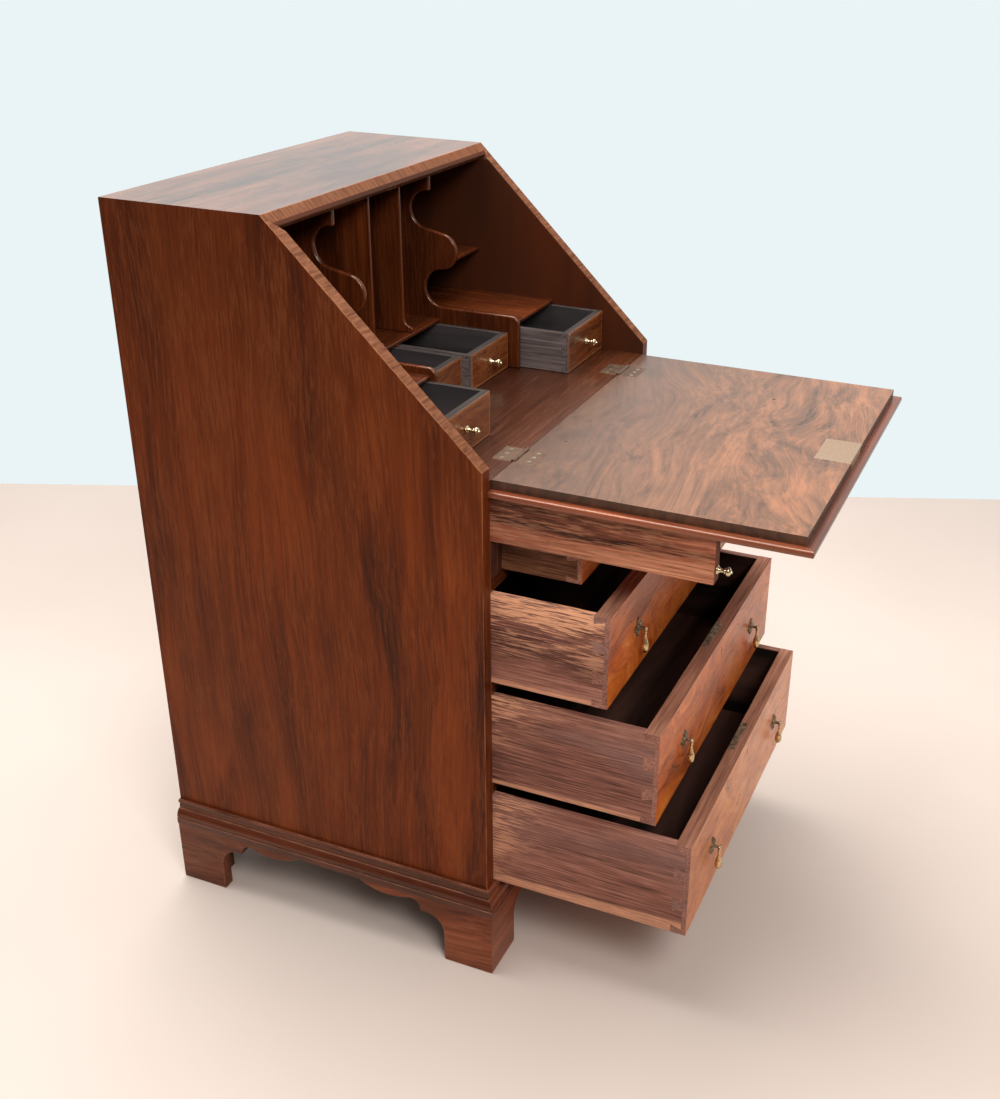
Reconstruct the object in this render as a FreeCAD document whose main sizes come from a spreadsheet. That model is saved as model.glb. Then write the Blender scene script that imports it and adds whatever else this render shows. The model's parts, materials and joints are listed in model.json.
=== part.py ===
import FreeCAD, Part
import Sketcher
import os
import re

# Slant-front desk: fall open on two lopers, drawers pulled out.
# X runs to the right, Y to the back and Z up; z = 0 is the floor.
# All lengths are in millimetres. In the formulas below y = 0 is the plane of the case front.

sizes = {
    # case
    "case_width": 567,
    "case_depth": 497,
    "interior_height": 261,
    "side_thickness": 20,
    "top_thickness": 20,
    "back_thickness": 10,
    "slant_run": 272,
    "facet_height": 16,
    "rail_thickness": 18,
    "rail_depth": 62,
    "runner_width": 22,
    "lower_opening": 141,
    "middle_opening": 134,
    "upper_opening": 126,
    "frieze_opening": 109,
    # base
    "foot_height": 108,
    "base_height": 27,
    "base_overhang": 12,
    "base_fillet": 2,
    "ovolo_height": 11,
    "ovolo_depth": 6,
    "cove_step": 1.5,
    "cove_depth": 2,
    "bead_height": 5,
    "bead_overhang": 5.5,
    "band_height": 10,
    "band_overhang": 13,
    "quirk": 0.8,
    "foot_width": 73,
    "bracket_thickness": 18,
    "bracket_rise": 46,
    "bracket_cove": 28,
    "bracket_flat": 8,
    "bracket_step": 2,
    "bracket_small_cove": 15,
    "lobe_width": 70,
    "lobe_radius": 91,
    "bracket_end": 13,
    "plain_bracket_length": 120,
    "foot_block": 34,
    # fall and its hinges
    "fall_thickness": 20,
    "bevel_width": 19.157,
    "fall_side_gap": 3.5,
    "lip_overhang": 11,
    "lip_round": 3,
    "lip_clearance": 0.3,
    "nib_gap": 1.5,
    "hinge_gap": 0.4,
    "hinge_place": 178,
    "hinge_width": 44,
    "hinge_leaf_depth": 28,
    "hinge_leaf_thickness": 2,
    "knuckle_radius": 2.8,
    "knuckle_length": 13,
    "pin_radius": 1.3,
    "pin_clearance": 0.05,
    "knuckle_clearance": 0.3,
    "screw_head_radius": 2.8,
    "screw_radius": 1.2,
    "screw_length": 14,
    "screw_spacing": 14,
    "screw_inset": 18,
    # fall lock
    "lock_length": 72,
    "fall_lock_depth": 45,
    "fall_lock_plate": 2.5,
    "fall_lock_case_length": 54,
    "fall_lock_case_depth": 34,
    "fall_lock_case_height": 9,
    "bolt_length": 20,
    "bolt_depth": 14,
    "bolt_height": 5,
    "bolt_cover": 2,
    "bolt_travel": 7,
    "bolt_clearance": 0.2,
    "keyhole_radius": 2.2,
    "keyhole_slot": 9,
    "keyhole_slot_width": 2.4,
    # lopers
    "loper_thickness": 19,
    "loper_length": 430,
    "loper_block_height": 51,
    "loper_clearance": 0.3,
    "loper_pull": 273,
    "loper_knob_drop": 13,
    "partition_thickness": 12,
    # interior fitting
    "divider_place": 126,
    "divider_thickness": 8,
    "divider_level": 75,
    "divider_corner": 12,
    "stub_front": 275,
    "bite_place": 258,
    # the serpentine's curves as shares of the height above the dividers' level part
    "bite_share": 0.145,
    "nose_share": 0.139,
    "nose_back_share": 0.011,
    "upper_bite_back_share": 0.102,
    "upper_bite_rise_share": 0.306,
    "upper_shelf_share": 0.28,
    "side_drawer_opening": 60,
    "side_shelf_front": 145,
    "centre_drawer_opening": 53,
    "centre_shelf_front": 262,
    "shelf_thickness": 6,
    "upper_shelf_front": 266,
    "thin_partition": 5,
    "divider_front": 137.5,
    "partition_toe": 7,
    # drawers
    "drawer_side_gap": 0.8,
    "drawer_top_gap": 1.5,
    "drawer_bottom_gap": 0.3,
    "front_thickness": 20,
    "drawer_side": 11,
    "drawer_back": 10,
    "drawer_bottom": 8,
    "bottom_rise": 3,
    "back_drop": 6,
    "dovetail_lap": 6,
    "long_drawer_depth": 455,
    "upper_pull": 153,
    "middle_pull": 222,
    "lower_pull": 270,
    "frieze_drawer_depth": 440,
    "frieze_pull": 104,
    "small_front": 10,
    "small_side": 6,
    "small_bottom": 5,
    "small_lap": 3,
    "side_drawer_depth": 250,
    "centre_drawer_depth": 200,
    "left_drawer_pull": 83,
    "right_drawer_pull": 80,
    "centre_left_pull": 97,
    "centre_right_pull": 108,
    # brass fittings of the long drawers
    "handle_place": 160,
    "plate_thickness": 1.5,
    "plate_radius": 7,
    "plate_lobe_radius": 4.5,
    "plate_lobe_place": 8.5,
    "post_radius": 2,
    "post_length": 9,
    "cross_pin_radius": 1.2,
    "cross_pin_length": 10,
    "nut_radius": 5,
    "nut_thickness": 2.5,
    "drop_length": 35,
    "drop_radius": 5,
    "drop_neck_radius": 1.8,
    "drop_eye_radius": 2.6,
    "drop_slot": 5.4,
    "drawer_lock_height": 38,
    "drawer_lock_depth": 9,
    "keyhole_drop": 20,
    # turned knobs
    "knob_rose_radius": 5.5,
    "knob_rose": 2.5,
    "knob_neck_radius": 2.6,
    "knob_neck": 8,
    "knob_ball_radius": 5.2,
    "frieze_knob_place": 130,
    # how far a cutting solid runs past what it cuts
    "cut_margin": 2,
}

derived = {
    "half_width": "case_width / 2",
    "inner_half": "half_width - side_thickness",
    "front_y": "(fall_length + hinge_gap + lip_overhang - case_depth) / 2",
    "base_top": "foot_height + base_height",
    "band_low": "foot_height - band_height",
    "middle_floor": "base_top + lower_opening + rail_thickness",
    "upper_floor": "middle_floor + middle_opening + rail_thickness",
    "frieze_floor": "upper_floor + upper_opening + rail_thickness",
    "writing_under": "frieze_floor + frieze_opening",
    "writing_level": "writing_under + fall_thickness",
    "top_under": "case_height - top_thickness",
    "back_face": "case_depth - back_thickness",
    "case_height": "writing_level + interior_height + top_thickness",
    "slant_rise": "case_height - writing_level - facet_height",
    "slant_length": "sqrt(slant_run ^ 2 + slant_rise ^ 2)",
    "slant_cos": "slant_run / slant_length",
    "slant_sin": "slant_rise / slant_length",
    "hinge_y": "-hinge_gap / 2",
    "slant_reach": "(slant_run - hinge_y) * slant_cos + (case_height - writing_level) * slant_sin",
    "fall_length": "slant_reach - bevel_width - nib_gap - hinge_gap",
    "rebate": "facet_height * slant_cos",
    "nib_reach": "fall_length + hinge_gap + nib_gap",
    "nib_y": "hinge_y + nib_reach * slant_cos - rebate * slant_sin",
    "nib_z": "writing_level + nib_reach * slant_sin + rebate * slant_cos",
    "nib_back": "nib_y + (nib_z - top_under) * slant_sin / slant_cos",
    "fall_half": "inner_half - fall_side_gap",
    "fall_back": "-hinge_gap",
    "fall_front": "-hinge_gap - fall_length",
    "fall_under": "writing_level - fall_thickness",
    "lip_top": "writing_level - rebate - lip_clearance",
    "loper_low": "frieze_floor + loper_block_height + loper_clearance",
    "loper_high": "fall_under - loper_clearance",
    "loper_outer": "inner_half - loper_clearance",
    "loper_inner": "loper_outer - loper_thickness",
    "guide_outer": "loper_inner - loper_clearance",
    "guide_inner": "guide_outer - partition_thickness",
    "divider_inner": "divider_place - divider_thickness / 2",
    "divider_outer": "divider_place + divider_thickness / 2",
    "divider_top": "writing_level + divider_level",
    "curve_room": "top_under - divider_top",
    "bite_radius": "curve_room * bite_share",
    "nose_radius": "curve_room * nose_share",
    "nose_back": "curve_room * nose_back_share",
    "bite_z": "divider_top + bite_radius",
    "nose_y": "bite_place + nose_back",
    "curve_pitch": "bite_radius + nose_radius",
    "nose_z": "bite_z + sqrt(curve_pitch ^ 2 - nose_back ^ 2)",
    "upper_bite_back": "curve_room * upper_bite_back_share",
    "upper_bite_rise": "curve_room * upper_bite_rise_share",
    "upper_bite_y": "nose_y + upper_bite_back",
    "upper_bite_z": "nose_z + upper_bite_rise",
    "upper_pitch": "sqrt(upper_bite_back ^ 2 + upper_bite_rise ^ 2)",
    "tangent_cos": "2 * nose_radius / upper_pitch",
    "tangent_sin": "sqrt(1 - tangent_cos ^ 2)",
    "tangent_y": "(upper_bite_back * tangent_cos - upper_bite_rise * tangent_sin) / upper_pitch * nose_radius",
    "tangent_z": "(upper_bite_rise * tangent_cos + upper_bite_back * tangent_sin) / upper_pitch * nose_radius",
    "side_shelf_under": "writing_level + side_drawer_opening",
    "centre_shelf_under": "writing_level + centre_drawer_opening",
    "centre_shelf_top": "centre_shelf_under + shelf_thickness",
    "toe_radius": "stub_front - centre_shelf_front",
    "toe_top": "centre_shelf_top + partition_toe",
    "screw_depth": "screw_length - hinge_leaf_thickness",
    "bolt_top": "writing_level - fall_lock_plate - bolt_cover",
    "drop_pivot": "plate_thickness + post_length",
    "knob_ball_y": "-knob_rose - knob_neck - knob_ball_radius / 2",
}

document = FreeCAD.newDocument("SlantFrontDesk")
sheet = document.addObject("Spreadsheet::Sheet", "Sizes")
for row, (size_name, value) in enumerate(sizes.items(), 1):
    sheet.set("A%d" % row, str(value))
    sheet.setAlias("A%d" % row, size_name)
document.recompute()

nodes = {}


def formula(text):
    def expand(match):
        word = match.group(0)
        if word in sizes:
            return "Sizes." + word
        if word in derived:
            return "(" + formula(derived[word]) + ")"
        return word
    return re.sub(r"[A-Za-z_]\w*", expand, text)


def number(text):
    return sheet.evalExpression(formula(text))


def bind(item, prop, text):
    item.setExpression(prop, formula(text))


def place(item, x, y, z):
    bind(item, "Placement.Base.x", x)
    bind(item, "Placement.Base.y", "front_y + (%s)" % y)
    bind(item, "Placement.Base.z", z)


def turn(item, axis, angle):
    item.Placement = FreeCAD.Placement(FreeCAD.Vector(), FreeCAD.Rotation(FreeCAD.Vector(*axis), angle))


def keep(name, item):
    item.Label = name
    nodes[name] = item
    return item


def mirrored(side, inner, outer):
    if side > 0:
        return inner, outer
    return "-(%s)" % outer, "-(%s)" % inner


# Each range is a pair of formulas, low then high.
def board(name, x, y, z):
    box = document.addObject("Part::Box", name)
    for prop, (low, high) in (("Length", x), ("Width", y), ("Height", z)):
        bind(box, prop, "(%s) - (%s)" % (high, low))
    place(box, x[0], y[0], z[0])
    return box


# A round bar along one axis, given by its centre line's start.
def bar(name, radius, length, axis, x, y, z):
    rod = document.addObject("Part::Cylinder", name)
    bind(rod, "Radius", radius)
    bind(rod, "Height", length)
    if axis == "x":
        turn(rod, (0, 1, 0), 90)
    if axis == "y":
        turn(rod, (1, 0, 0), -90)
    place(rod, x, y, z)
    return rod


def cut(name, base, tools):
    result = base
    for count, tool in enumerate(tools):
        step = document.addObject("Part::Cut", "%s_cut_%d" % (name, count))
        step.Base = result
        step.Tool = tool
        result = step
    return result


def fuse(name, members):
    joined = document.addObject("Part::MultiFuse", name)
    joined.Shapes = members
    joined.Refine = True
    return joined


def group(name, members):
    together = document.addObject("Part::Compound", name)
    together.Links = members
    return keep(name, together)


def origin_plane(body, role):
    return [feature for feature in body.Origin.OriginFeatures if feature.Role == role][0]


# A closed outline on one of the body's own planes. Each corner is (u, v), or (u, v, arc) where the run to the
# next corner is an arc given as (centre u, centre v, radius, "left" or "right").
def draw(body, role, outline):
    sketch = body.newObject("Sketcher::SketchObject", body.Name + "_sketch")
    sketch.AttachmentSupport = [(origin_plane(body, role), "")]
    sketch.MapMode = "FlatFace"
    spots = [FreeCAD.Vector(number(corner[0]), number(corner[1]), 0) for corner in outline]
    starts = []
    for index, corner in enumerate(outline):
        here = spots[index]
        there = spots[(index + 1) % len(outline)]
        if len(corner) == 2:
            sketch.addGeometry(Part.LineSegment(here, there), False)
            starts.append((1, 2))
            continue
        centre_u, centre_v, radius, way = corner[2]
        centre = FreeCAD.Vector(number(centre_u), number(centre_v), 0)
        first, last = (here, there) if way == "left" else (there, here)
        angles = [FreeCAD.Vector(1, 0, 0).getAngle(spot - centre) for spot in (first, last)]
        angles = [-angle if spot.y < centre.y else angle for angle, spot in zip(angles, (first, last))]
        circle = Part.Circle(centre, FreeCAD.Vector(0, 0, 1), number(radius))
        arc = sketch.addGeometry(Part.ArcOfCircle(circle, *angles), False)
        limit = sketch.addConstraint(Sketcher.Constraint("Radius", arc, number(radius)))
        bind(sketch, "Constraints[%d]" % limit, radius)
        starts.append((1, 2) if way == "left" else (2, 1))
    for index, corner in enumerate(outline):
        following = (index + 1) % len(outline)
        sketch.addConstraint(
            Sketcher.Constraint("Coincident", index, starts[index][1], following, starts[following][0]))
        for kind, text, value in (("DistanceX", corner[0], spots[index].x), ("DistanceY", corner[1], spots[index].y)):
            limit = sketch.addConstraint(Sketcher.Constraint(kind, -1, 1, index, starts[index][0], value))
            bind(sketch, "Constraints[%d]" % limit, text)
    return sketch


def new_body(name):
    return document.addObject("PartDesign::Body", name)


# A board of even thickness with a drawn outline; it grows along +X, +Y or +Z from its plane.
def prism(name, role, outline, thickness, at):
    body = new_body(name)
    pad = body.newObject("PartDesign::Pad", name + "_pad")
    pad.Profile = draw(body, role, outline)
    pad.Reversed = role == "XZ_Plane"
    bind(pad, "Length", thickness)
    place(body, *at)
    return body


# A piece turned about its own Y axis; the outline gives radius and place along Y.
def turned(name, outline, at):
    body = new_body(name)
    sketch = draw(body, "XY_Plane", outline)
    spin = body.newObject("PartDesign::Revolution", name + "_spin")
    spin.Profile = sketch
    spin.ReferenceAxis = (sketch, ["V_Axis"])
    spin.Angle = 360
    place(body, *at)
    return body


# Three mitred mouldings round the left, front and right of a block. The section gives the distance out from the
# block and the height, with arcs as in an outline.
def mouldings(name, half, front, back, overhang, low, high, section):
    def flipped(start, sign):
        swap = {"left": "right", "right": "left"}
        corners = []
        for corner in section:
            u = "%s %s (%s)" % (start, sign, corner[0])
            if len(corner) == 2:
                corners.append((u, corner[1]))
                continue
            centre_u, centre_v, radius, way = corner[2]
            way = way if sign == "+" else swap[way]
            corners.append((u, corner[1], ("%s %s (%s)" % (start, sign, centre_u), centre_v, radius, way)))
        return corners

    outer = "(%s + %s)" % (half, overhang)
    tip = "(%s - %s)" % (front, overhang)
    floor = "(%s) - cut_margin" % low
    tall = "(%s) - (%s) + 2 * cut_margin" % (high, low)
    strips = []
    front_cuts = []
    for side, word in ((-1, "left"), (1, "right")):
        sign = "+" if side > 0 else "-"
        inside = "%s (%s)" % (sign, half)
        outside = "%s %s" % (sign, outer)
        strip = prism("%s_%s_strip" % (name, word), "XZ_Plane", flipped(inside, sign),
                      "(%s) - %s" % (back, tip), ("0", tip, "0"))
        corner = [(inside, front), (outside, tip), (inside, tip)]
        mitre = prism("%s_%s_mitre" % (name, word), "XY_Plane", corner, tall, ("0", "0", floor))
        strips.append(cut("%s_%s" % (name, word), strip, [mitre]))
        corner = [(inside, front), (outside, front), (outside, tip)]
        front_cuts.append(prism("%s_front_%s_mitre" % (name, word), "XY_Plane", corner, tall, ("0", "0", floor)))
    strip = prism(name + "_front_strip", "YZ_Plane", flipped(front, "-"), "2 * " + outer, ("-" + outer, "0", "0"))
    strips.append(cut(name + "_front", strip, front_cuts))
    return group(name, strips)


# Case sides, mitred to the top board along their upper edge.
def case_sides():
    slant_foot = "writing_level + facet_height"
    outline = [("0", "foot_height"), ("case_depth", "foot_height"), ("case_depth", "case_height"),
               ("slant_run", "case_height"), ("0", slant_foot)]
    for side, word in ((-1, "left"), (1, "right")):
        low, high = mirrored(side, "inner_half", "half_width")
        blank = prism("side_%s_blank" % word, "YZ_Plane", outline, "side_thickness", (low, "0", "0"))
        sign = "+" if side > 0 else "-"
        corner = [(sign + "inner_half", "top_under"), (sign + "inner_half", "case_height"),
                  (sign + "half_width", "case_height")]
        mitre = prism("side_%s_mitre" % word, "XZ_Plane", corner, "case_depth", ("0", "0", "0"))
        keep("side_" + word, cut("side_" + word, blank, [mitre]))


# The top's front edge is bevelled to the slant and cut square behind the bevel for the fall's edge.
def top_board():
    outline = [("case_depth", "top_under"), ("case_depth", "case_height"), ("slant_run", "case_height"),
               ("nib_y", "nib_z"), ("nib_back", "top_under")]
    blank = prism("top_blank", "YZ_Plane", outline, "case_width", ("-half_width", "0", "0"))
    mitres = []
    for sign in "-+":
        corner = [(sign + "inner_half", "top_under"), (sign + "half_width", "top_under"),
                  (sign + "half_width", "case_height")]
        word = "left" if sign == "-" else "right"
        mitres.append(prism("top_%s_mitre" % word, "XZ_Plane", corner, "case_depth", ("0", "0", "0")))
    keep("top_board", cut("top_board", blank, mitres + [bolt_mortise()]))


# The mortise in the top's edge that takes the fall lock's bolt when the fall is shut.
def bolt_mortise():
    mortise = document.addObject("Part::Box", "bolt_mortise")
    bind(mortise, "Length", "bolt_length + 2 * bolt_clearance")
    bind(mortise, "Width", "bolt_travel + nib_gap")
    bind(mortise, "Height", "bolt_height + 2 * bolt_clearance")
    turn(mortise, (1, 0, 0), 45)
    bind(mortise, "Placement.Rotation.Angle", "atan(slant_rise / slant_run)")
    start = "(fall_length + hinge_gap)"
    inner = "(writing_level - bolt_top - bolt_clearance)"
    place(mortise, "-bolt_length / 2 - bolt_clearance",
          "hinge_y + %s * slant_cos - %s * slant_sin" % (start, inner),
          "writing_level + %s * slant_sin + %s * slant_cos" % (start, inner))
    return mortise


def case_boards():
    inside = ("-inner_half", "inner_half")
    planks = []
    for count in range(3):
        plank = ("-inner_half + inner_half * 2 / 3 * %d" % count, "-inner_half + inner_half * 2 / 3 * %d" % (count + 1))
        planks.append(board("back_plank_%d" % count, plank, ("back_face", "case_depth"),
                            ("base_top - rail_thickness", "top_under")))
    group("back_boards", planks)
    keep("bottom_board", board("bottom_board", inside, ("0", "back_face"), ("base_top - rail_thickness", "base_top")))
    rails = []
    runners = []
    for floor in ("middle_floor", "upper_floor"):
        height = (floor + " - rail_thickness", floor)
        rails.append(board(floor + "_rail", inside, ("0", "rail_depth"), height))
        for side in (-1, 1):
            strip = mirrored(side, "inner_half - runner_width", "inner_half")
            runners.append(board(floor + "_runner", strip, ("rail_depth", "back_face"), height))
    group("drawer_rails", rails)
    group("drawer_runners", runners)
    keep("frieze_board", board("frieze_board", inside, ("0", "back_face"),
                               ("frieze_floor - rail_thickness", "frieze_floor")))
    guides = []
    for side in (-1, 1):
        guides.append(board("loper_block", mirrored(side, "guide_outer", "inner_half"), ("0", "back_face"),
                            ("frieze_floor", "frieze_floor + loper_block_height")))
        guides.append(board("loper_partition", mirrored(side, "guide_inner", "guide_outer"), ("0", "back_face"),
                            ("frieze_floor", "writing_under")))
    group("loper_guides", guides)


# One foot facing: it runs from its outer corner along u, with a stepped cove and a shallow lobe.
def foot_facing(name, sign, angle, x, y, mitred, plain):
    def along(text):
        return "%s(%s)" % (sign, text)

    way = {"+": ("right", "left"), "-": ("left", "right")}[sign]
    cove = "foot_width + bracket_cove"
    step = cove + " + bracket_flat"
    lobe = step + " + bracket_small_cove"
    low = "bracket_rise + bracket_cove"
    lobe_z = low + " + bracket_step + bracket_small_cove"
    if plain:
        outline = [("0", "0"), (along("foot_width"), "0"), (along("foot_width"), "bracket_rise"),
                   (along("plain_bracket_length"), "foot_height"), ("0", "foot_height")]
    else:
        outline = [
            ("0", "0"),
            (along("foot_width"), "0"),
            (along("foot_width"), "bracket_rise", (along(cove), "bracket_rise", "bracket_cove", way[0])),
            (along(cove), low),
            (along(step), low),
            (along(step), low + " + bracket_step",
             (along(lobe), low + " + bracket_step", "bracket_small_cove", way[0])),
            (along(lobe), lobe_z,
             (along(lobe + " + lobe_width / 2"), lobe_z + " + sqrt(lobe_radius ^ 2 - lobe_width ^ 2 / 4)",
              "lobe_radius", way[1])),
            (along(lobe + " + lobe_width"), lobe_z),
            (along(lobe + " + lobe_width + bracket_end"), "band_low"),
            ("0", "band_low"),
        ]
    facing = prism(name + "_blank", "XZ_Plane", outline, "bracket_thickness", ("0", "0", "0"))
    if mitred:
        corner = [("0", "0"), (along("bracket_thickness"), "bracket_thickness"), ("0", "bracket_thickness")]
        mitre = prism(name + "_mitre", "XY_Plane", corner, "foot_height", ("0", "0", "0"))
        bind(facing, "Placement.Base.y", "0")
        bind(mitre, "Placement.Base.y", "0")
        facing = cut(name, facing, [mitre])
    turn(facing, (0, 0, 1), angle)
    place(facing, x, y, "0")
    return facing


def base():
    out = "(half_width + base_overhang)"
    facings = []
    blocks = []
    for side, word in ((-1, "left"), (1, "right")):
        sign = "-" if side < 0 else ""
        run = "+" if side < 0 else "-"
        back = "-" if side < 0 else "+"
        quarter = 90 * side
        corner_x = sign + out
        inner_x = "%s(%s - bracket_thickness)" % (sign, out)
        front = "-base_overhang"
        facings.append(foot_facing("foot_front_" + word, run, 0, corner_x, front, True, False))
        facings.append(foot_facing("foot_side_" + word, back, quarter, corner_x, front, True, False))
        facings.append(foot_facing("foot_rear_" + word, run, quarter, corner_x, "case_depth", False, False))
        facings.append(foot_facing("foot_back_" + word, back, 180, inner_x, "case_depth", False, True))
        span = mirrored(side, out + " - bracket_thickness - foot_block", out + " - bracket_thickness")
        start = "bracket_thickness - base_overhang"
        stop = "case_depth - bracket_thickness"
        blocks.append(board("front_block_" + word, span, (start, start + " + foot_block"), ("0", "foot_height")))
        blocks.append(board("rear_block_" + word, span, (stop + " - foot_block", stop), ("0", "foot_height")))
    group("bracket_feet", facings)
    group("foot_blocks", blocks)
    # From the foot: a flat band, a quirk, an ovolo, a shallow cove and a flat bead against the case.
    ovolo_top = "foot_height + base_fillet + ovolo_height"
    ovolo_in = "(base_overhang - ovolo_depth)"
    bend = "((ovolo_depth ^ 2 + ovolo_height ^ 2) / (2 * ovolo_depth))"
    bead_low = "base_top - bead_height"
    cove_in = "(%s - cove_step - cove_depth)" % ovolo_in
    section = [
        ("0", "band_low"),
        ("band_overhang", "band_low"),
        ("band_overhang", "foot_height - quirk"),
        ("base_overhang - cove_step", "foot_height"),
        ("base_overhang", "foot_height + quirk"),
        ("base_overhang", "foot_height + base_fillet",
         ("base_overhang - " + bend, "foot_height + base_fillet", bend, "left")),
        (ovolo_in, ovolo_top),
        (ovolo_in + " - cove_step", ovolo_top),
        (cove_in, bead_low),
        ("bead_overhang", bead_low),
        ("bead_overhang", "base_top - cove_step"),
        ("bead_overhang - cove_step", "base_top"),
        ("0", "base_top"),
    ]
    mouldings("base_moulding", "half_width", "0", "case_depth", "band_overhang", "band_low", "base_top", section)


# Serpentine dividers, pigeonhole partitions and shelves behind the fall.
def interior_fitting():
    touch = "bite_radius / curve_pitch"
    bite_end = ("bite_place + nose_back * " + touch, "bite_z + (nose_z - bite_z) * " + touch)
    nose_end = ("nose_y + tangent_y", "nose_z + tangent_z")
    upper_start = ("upper_bite_y - tangent_y", "upper_bite_z - tangent_z")
    stub_z = "upper_bite_z + sqrt(nose_radius ^ 2 - (upper_bite_y - stub_front) ^ 2)"
    outline = [
        ("back_face", "writing_level"),
        ("divider_front", "writing_level"),
        ("divider_front", "divider_top - divider_corner",
         ("divider_front + divider_corner", "divider_top - divider_corner", "divider_corner", "right")),
        ("divider_front + divider_corner", "divider_top"),
        ("bite_place", "divider_top", ("bite_place", "bite_z", "bite_radius", "left")),
        (*bite_end, ("nose_y", "nose_z", "nose_radius", "right")),
        nose_end,
        (*upper_start, ("upper_bite_y", "upper_bite_z", "nose_radius", "left")),
        ("stub_front", stub_z),
        ("stub_front", "top_under"),
        ("back_face", "top_under"),
    ]
    for side, word in ((-1, "left"), (1, "right")):
        low, high = mirrored(side, "divider_inner", "divider_outer")
        name = "divider_" + word
        keep(name, prism(name, "YZ_Plane", outline, "divider_thickness", (low, "0", "0")))
    outline = [
        ("back_face", "centre_shelf_top"),
        ("centre_shelf_front", "centre_shelf_top"),
        ("centre_shelf_front", "toe_top", ("centre_shelf_front", "toe_top + toe_radius", "toe_radius", "left")),
        ("stub_front", "toe_top + toe_radius"),
        ("stub_front", "top_under"),
        ("back_face", "top_under"),
    ]
    thin = []
    for sign in "-+":
        low = sign + "divider_inner / 3 - thin_partition / 2"
        thin.append(prism("pigeonhole_partition", "YZ_Plane", outline, "thin_partition", (low, "0", "0")))
    thin.append(board("drawer_partition", ("-thin_partition / 2", "thin_partition / 2"),
                      ("centre_shelf_front", "back_face"), ("writing_level", "centre_shelf_under")))
    group("thin_partitions", thin)
    shelves = [board("centre_shelf", ("-divider_inner", "divider_inner"), ("centre_shelf_front", "back_face"),
                     ("centre_shelf_under", "centre_shelf_top"))]
    for side in (-1, 1):
        span = mirrored(side, "divider_outer", "inner_half")
        shelves.append(board("side_shelf", span, ("side_shelf_front", "back_face"),
                             ("side_shelf_under", "side_shelf_under + shelf_thickness")))
        upper = "divider_top + curve_room * upper_shelf_share"
        shelves.append(board("upper_shelf", span, ("upper_shelf_front", "back_face"),
                             (upper, upper + " + shelf_thickness")))
    group("interior_shelves", shelves)


# Two flush hinges: the case leaf has the two outer knuckles, the fall leaf the middle one.
def hinge_leaf(name, x, side, bore):
    edge = "hinge_y %s (knuckle_radius + knuckle_clearance)" % ("+" if side > 0 else "-")
    end = "hinge_y %s hinge_leaf_depth" % ("+" if side > 0 else "-")
    height = ("writing_level - hinge_leaf_thickness", "writing_level")
    low = x + " - hinge_width / 2"
    high = x + " + hinge_width / 2"
    if side > 0:
        knuckles = [(low, low + " + knuckle_length"), (high + " - knuckle_length", high)]
        pieces = [board(name + "_leaf", (low, high), (edge, end), height)]
    else:
        knuckles = [(low + " + knuckle_length + knuckle_clearance", high + " - knuckle_length - knuckle_clearance")]
        pieces = [board(name + "_leaf", (low, high), (end, edge), height)]
    for start, stop in knuckles:
        link = ("hinge_y", edge) if side > 0 else (edge, "hinge_y")
        pieces.append(board(name + "_link", (start, stop), link, height))
        pieces.append(bar(name + "_knuckle", "knuckle_radius", "(%s) - (%s)" % (stop, start), "x",
                          start, "hinge_y", "writing_level"))
    return cut(name, fuse(name + "_whole", pieces), [bore])


def hinge_screw(name, x, y):
    head = document.addObject("Part::Cone", name + "_head")
    bind(head, "Radius1", "screw_radius")
    bind(head, "Radius2", "screw_head_radius")
    bind(head, "Height", "hinge_leaf_thickness")
    place(head, x, y, "writing_level - hinge_leaf_thickness")
    shank = bar(name + "_shank", "screw_radius", "screw_depth", "z", x, y, "writing_level - screw_length")
    return fuse(name, [head, shank])


# The mortise that one leaf and its knuckles are let into.
def hinge_seat(name, x, side):
    low = x + " - hinge_width / 2"
    end = "hinge_y %s hinge_leaf_depth" % ("+" if side > 0 else "-")
    reach = ("hinge_y", end) if side > 0 else (end, "hinge_y")
    flat = board(name + "_flat", (low, low + " + hinge_width"), reach,
                 ("writing_level - hinge_leaf_thickness", "writing_level + cut_margin"))
    groove = bar(name + "_groove", "knuckle_radius + knuckle_clearance", "hinge_width", "x",
                 low, "hinge_y", "writing_level")
    return fuse(name, [flat, groove])


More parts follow.
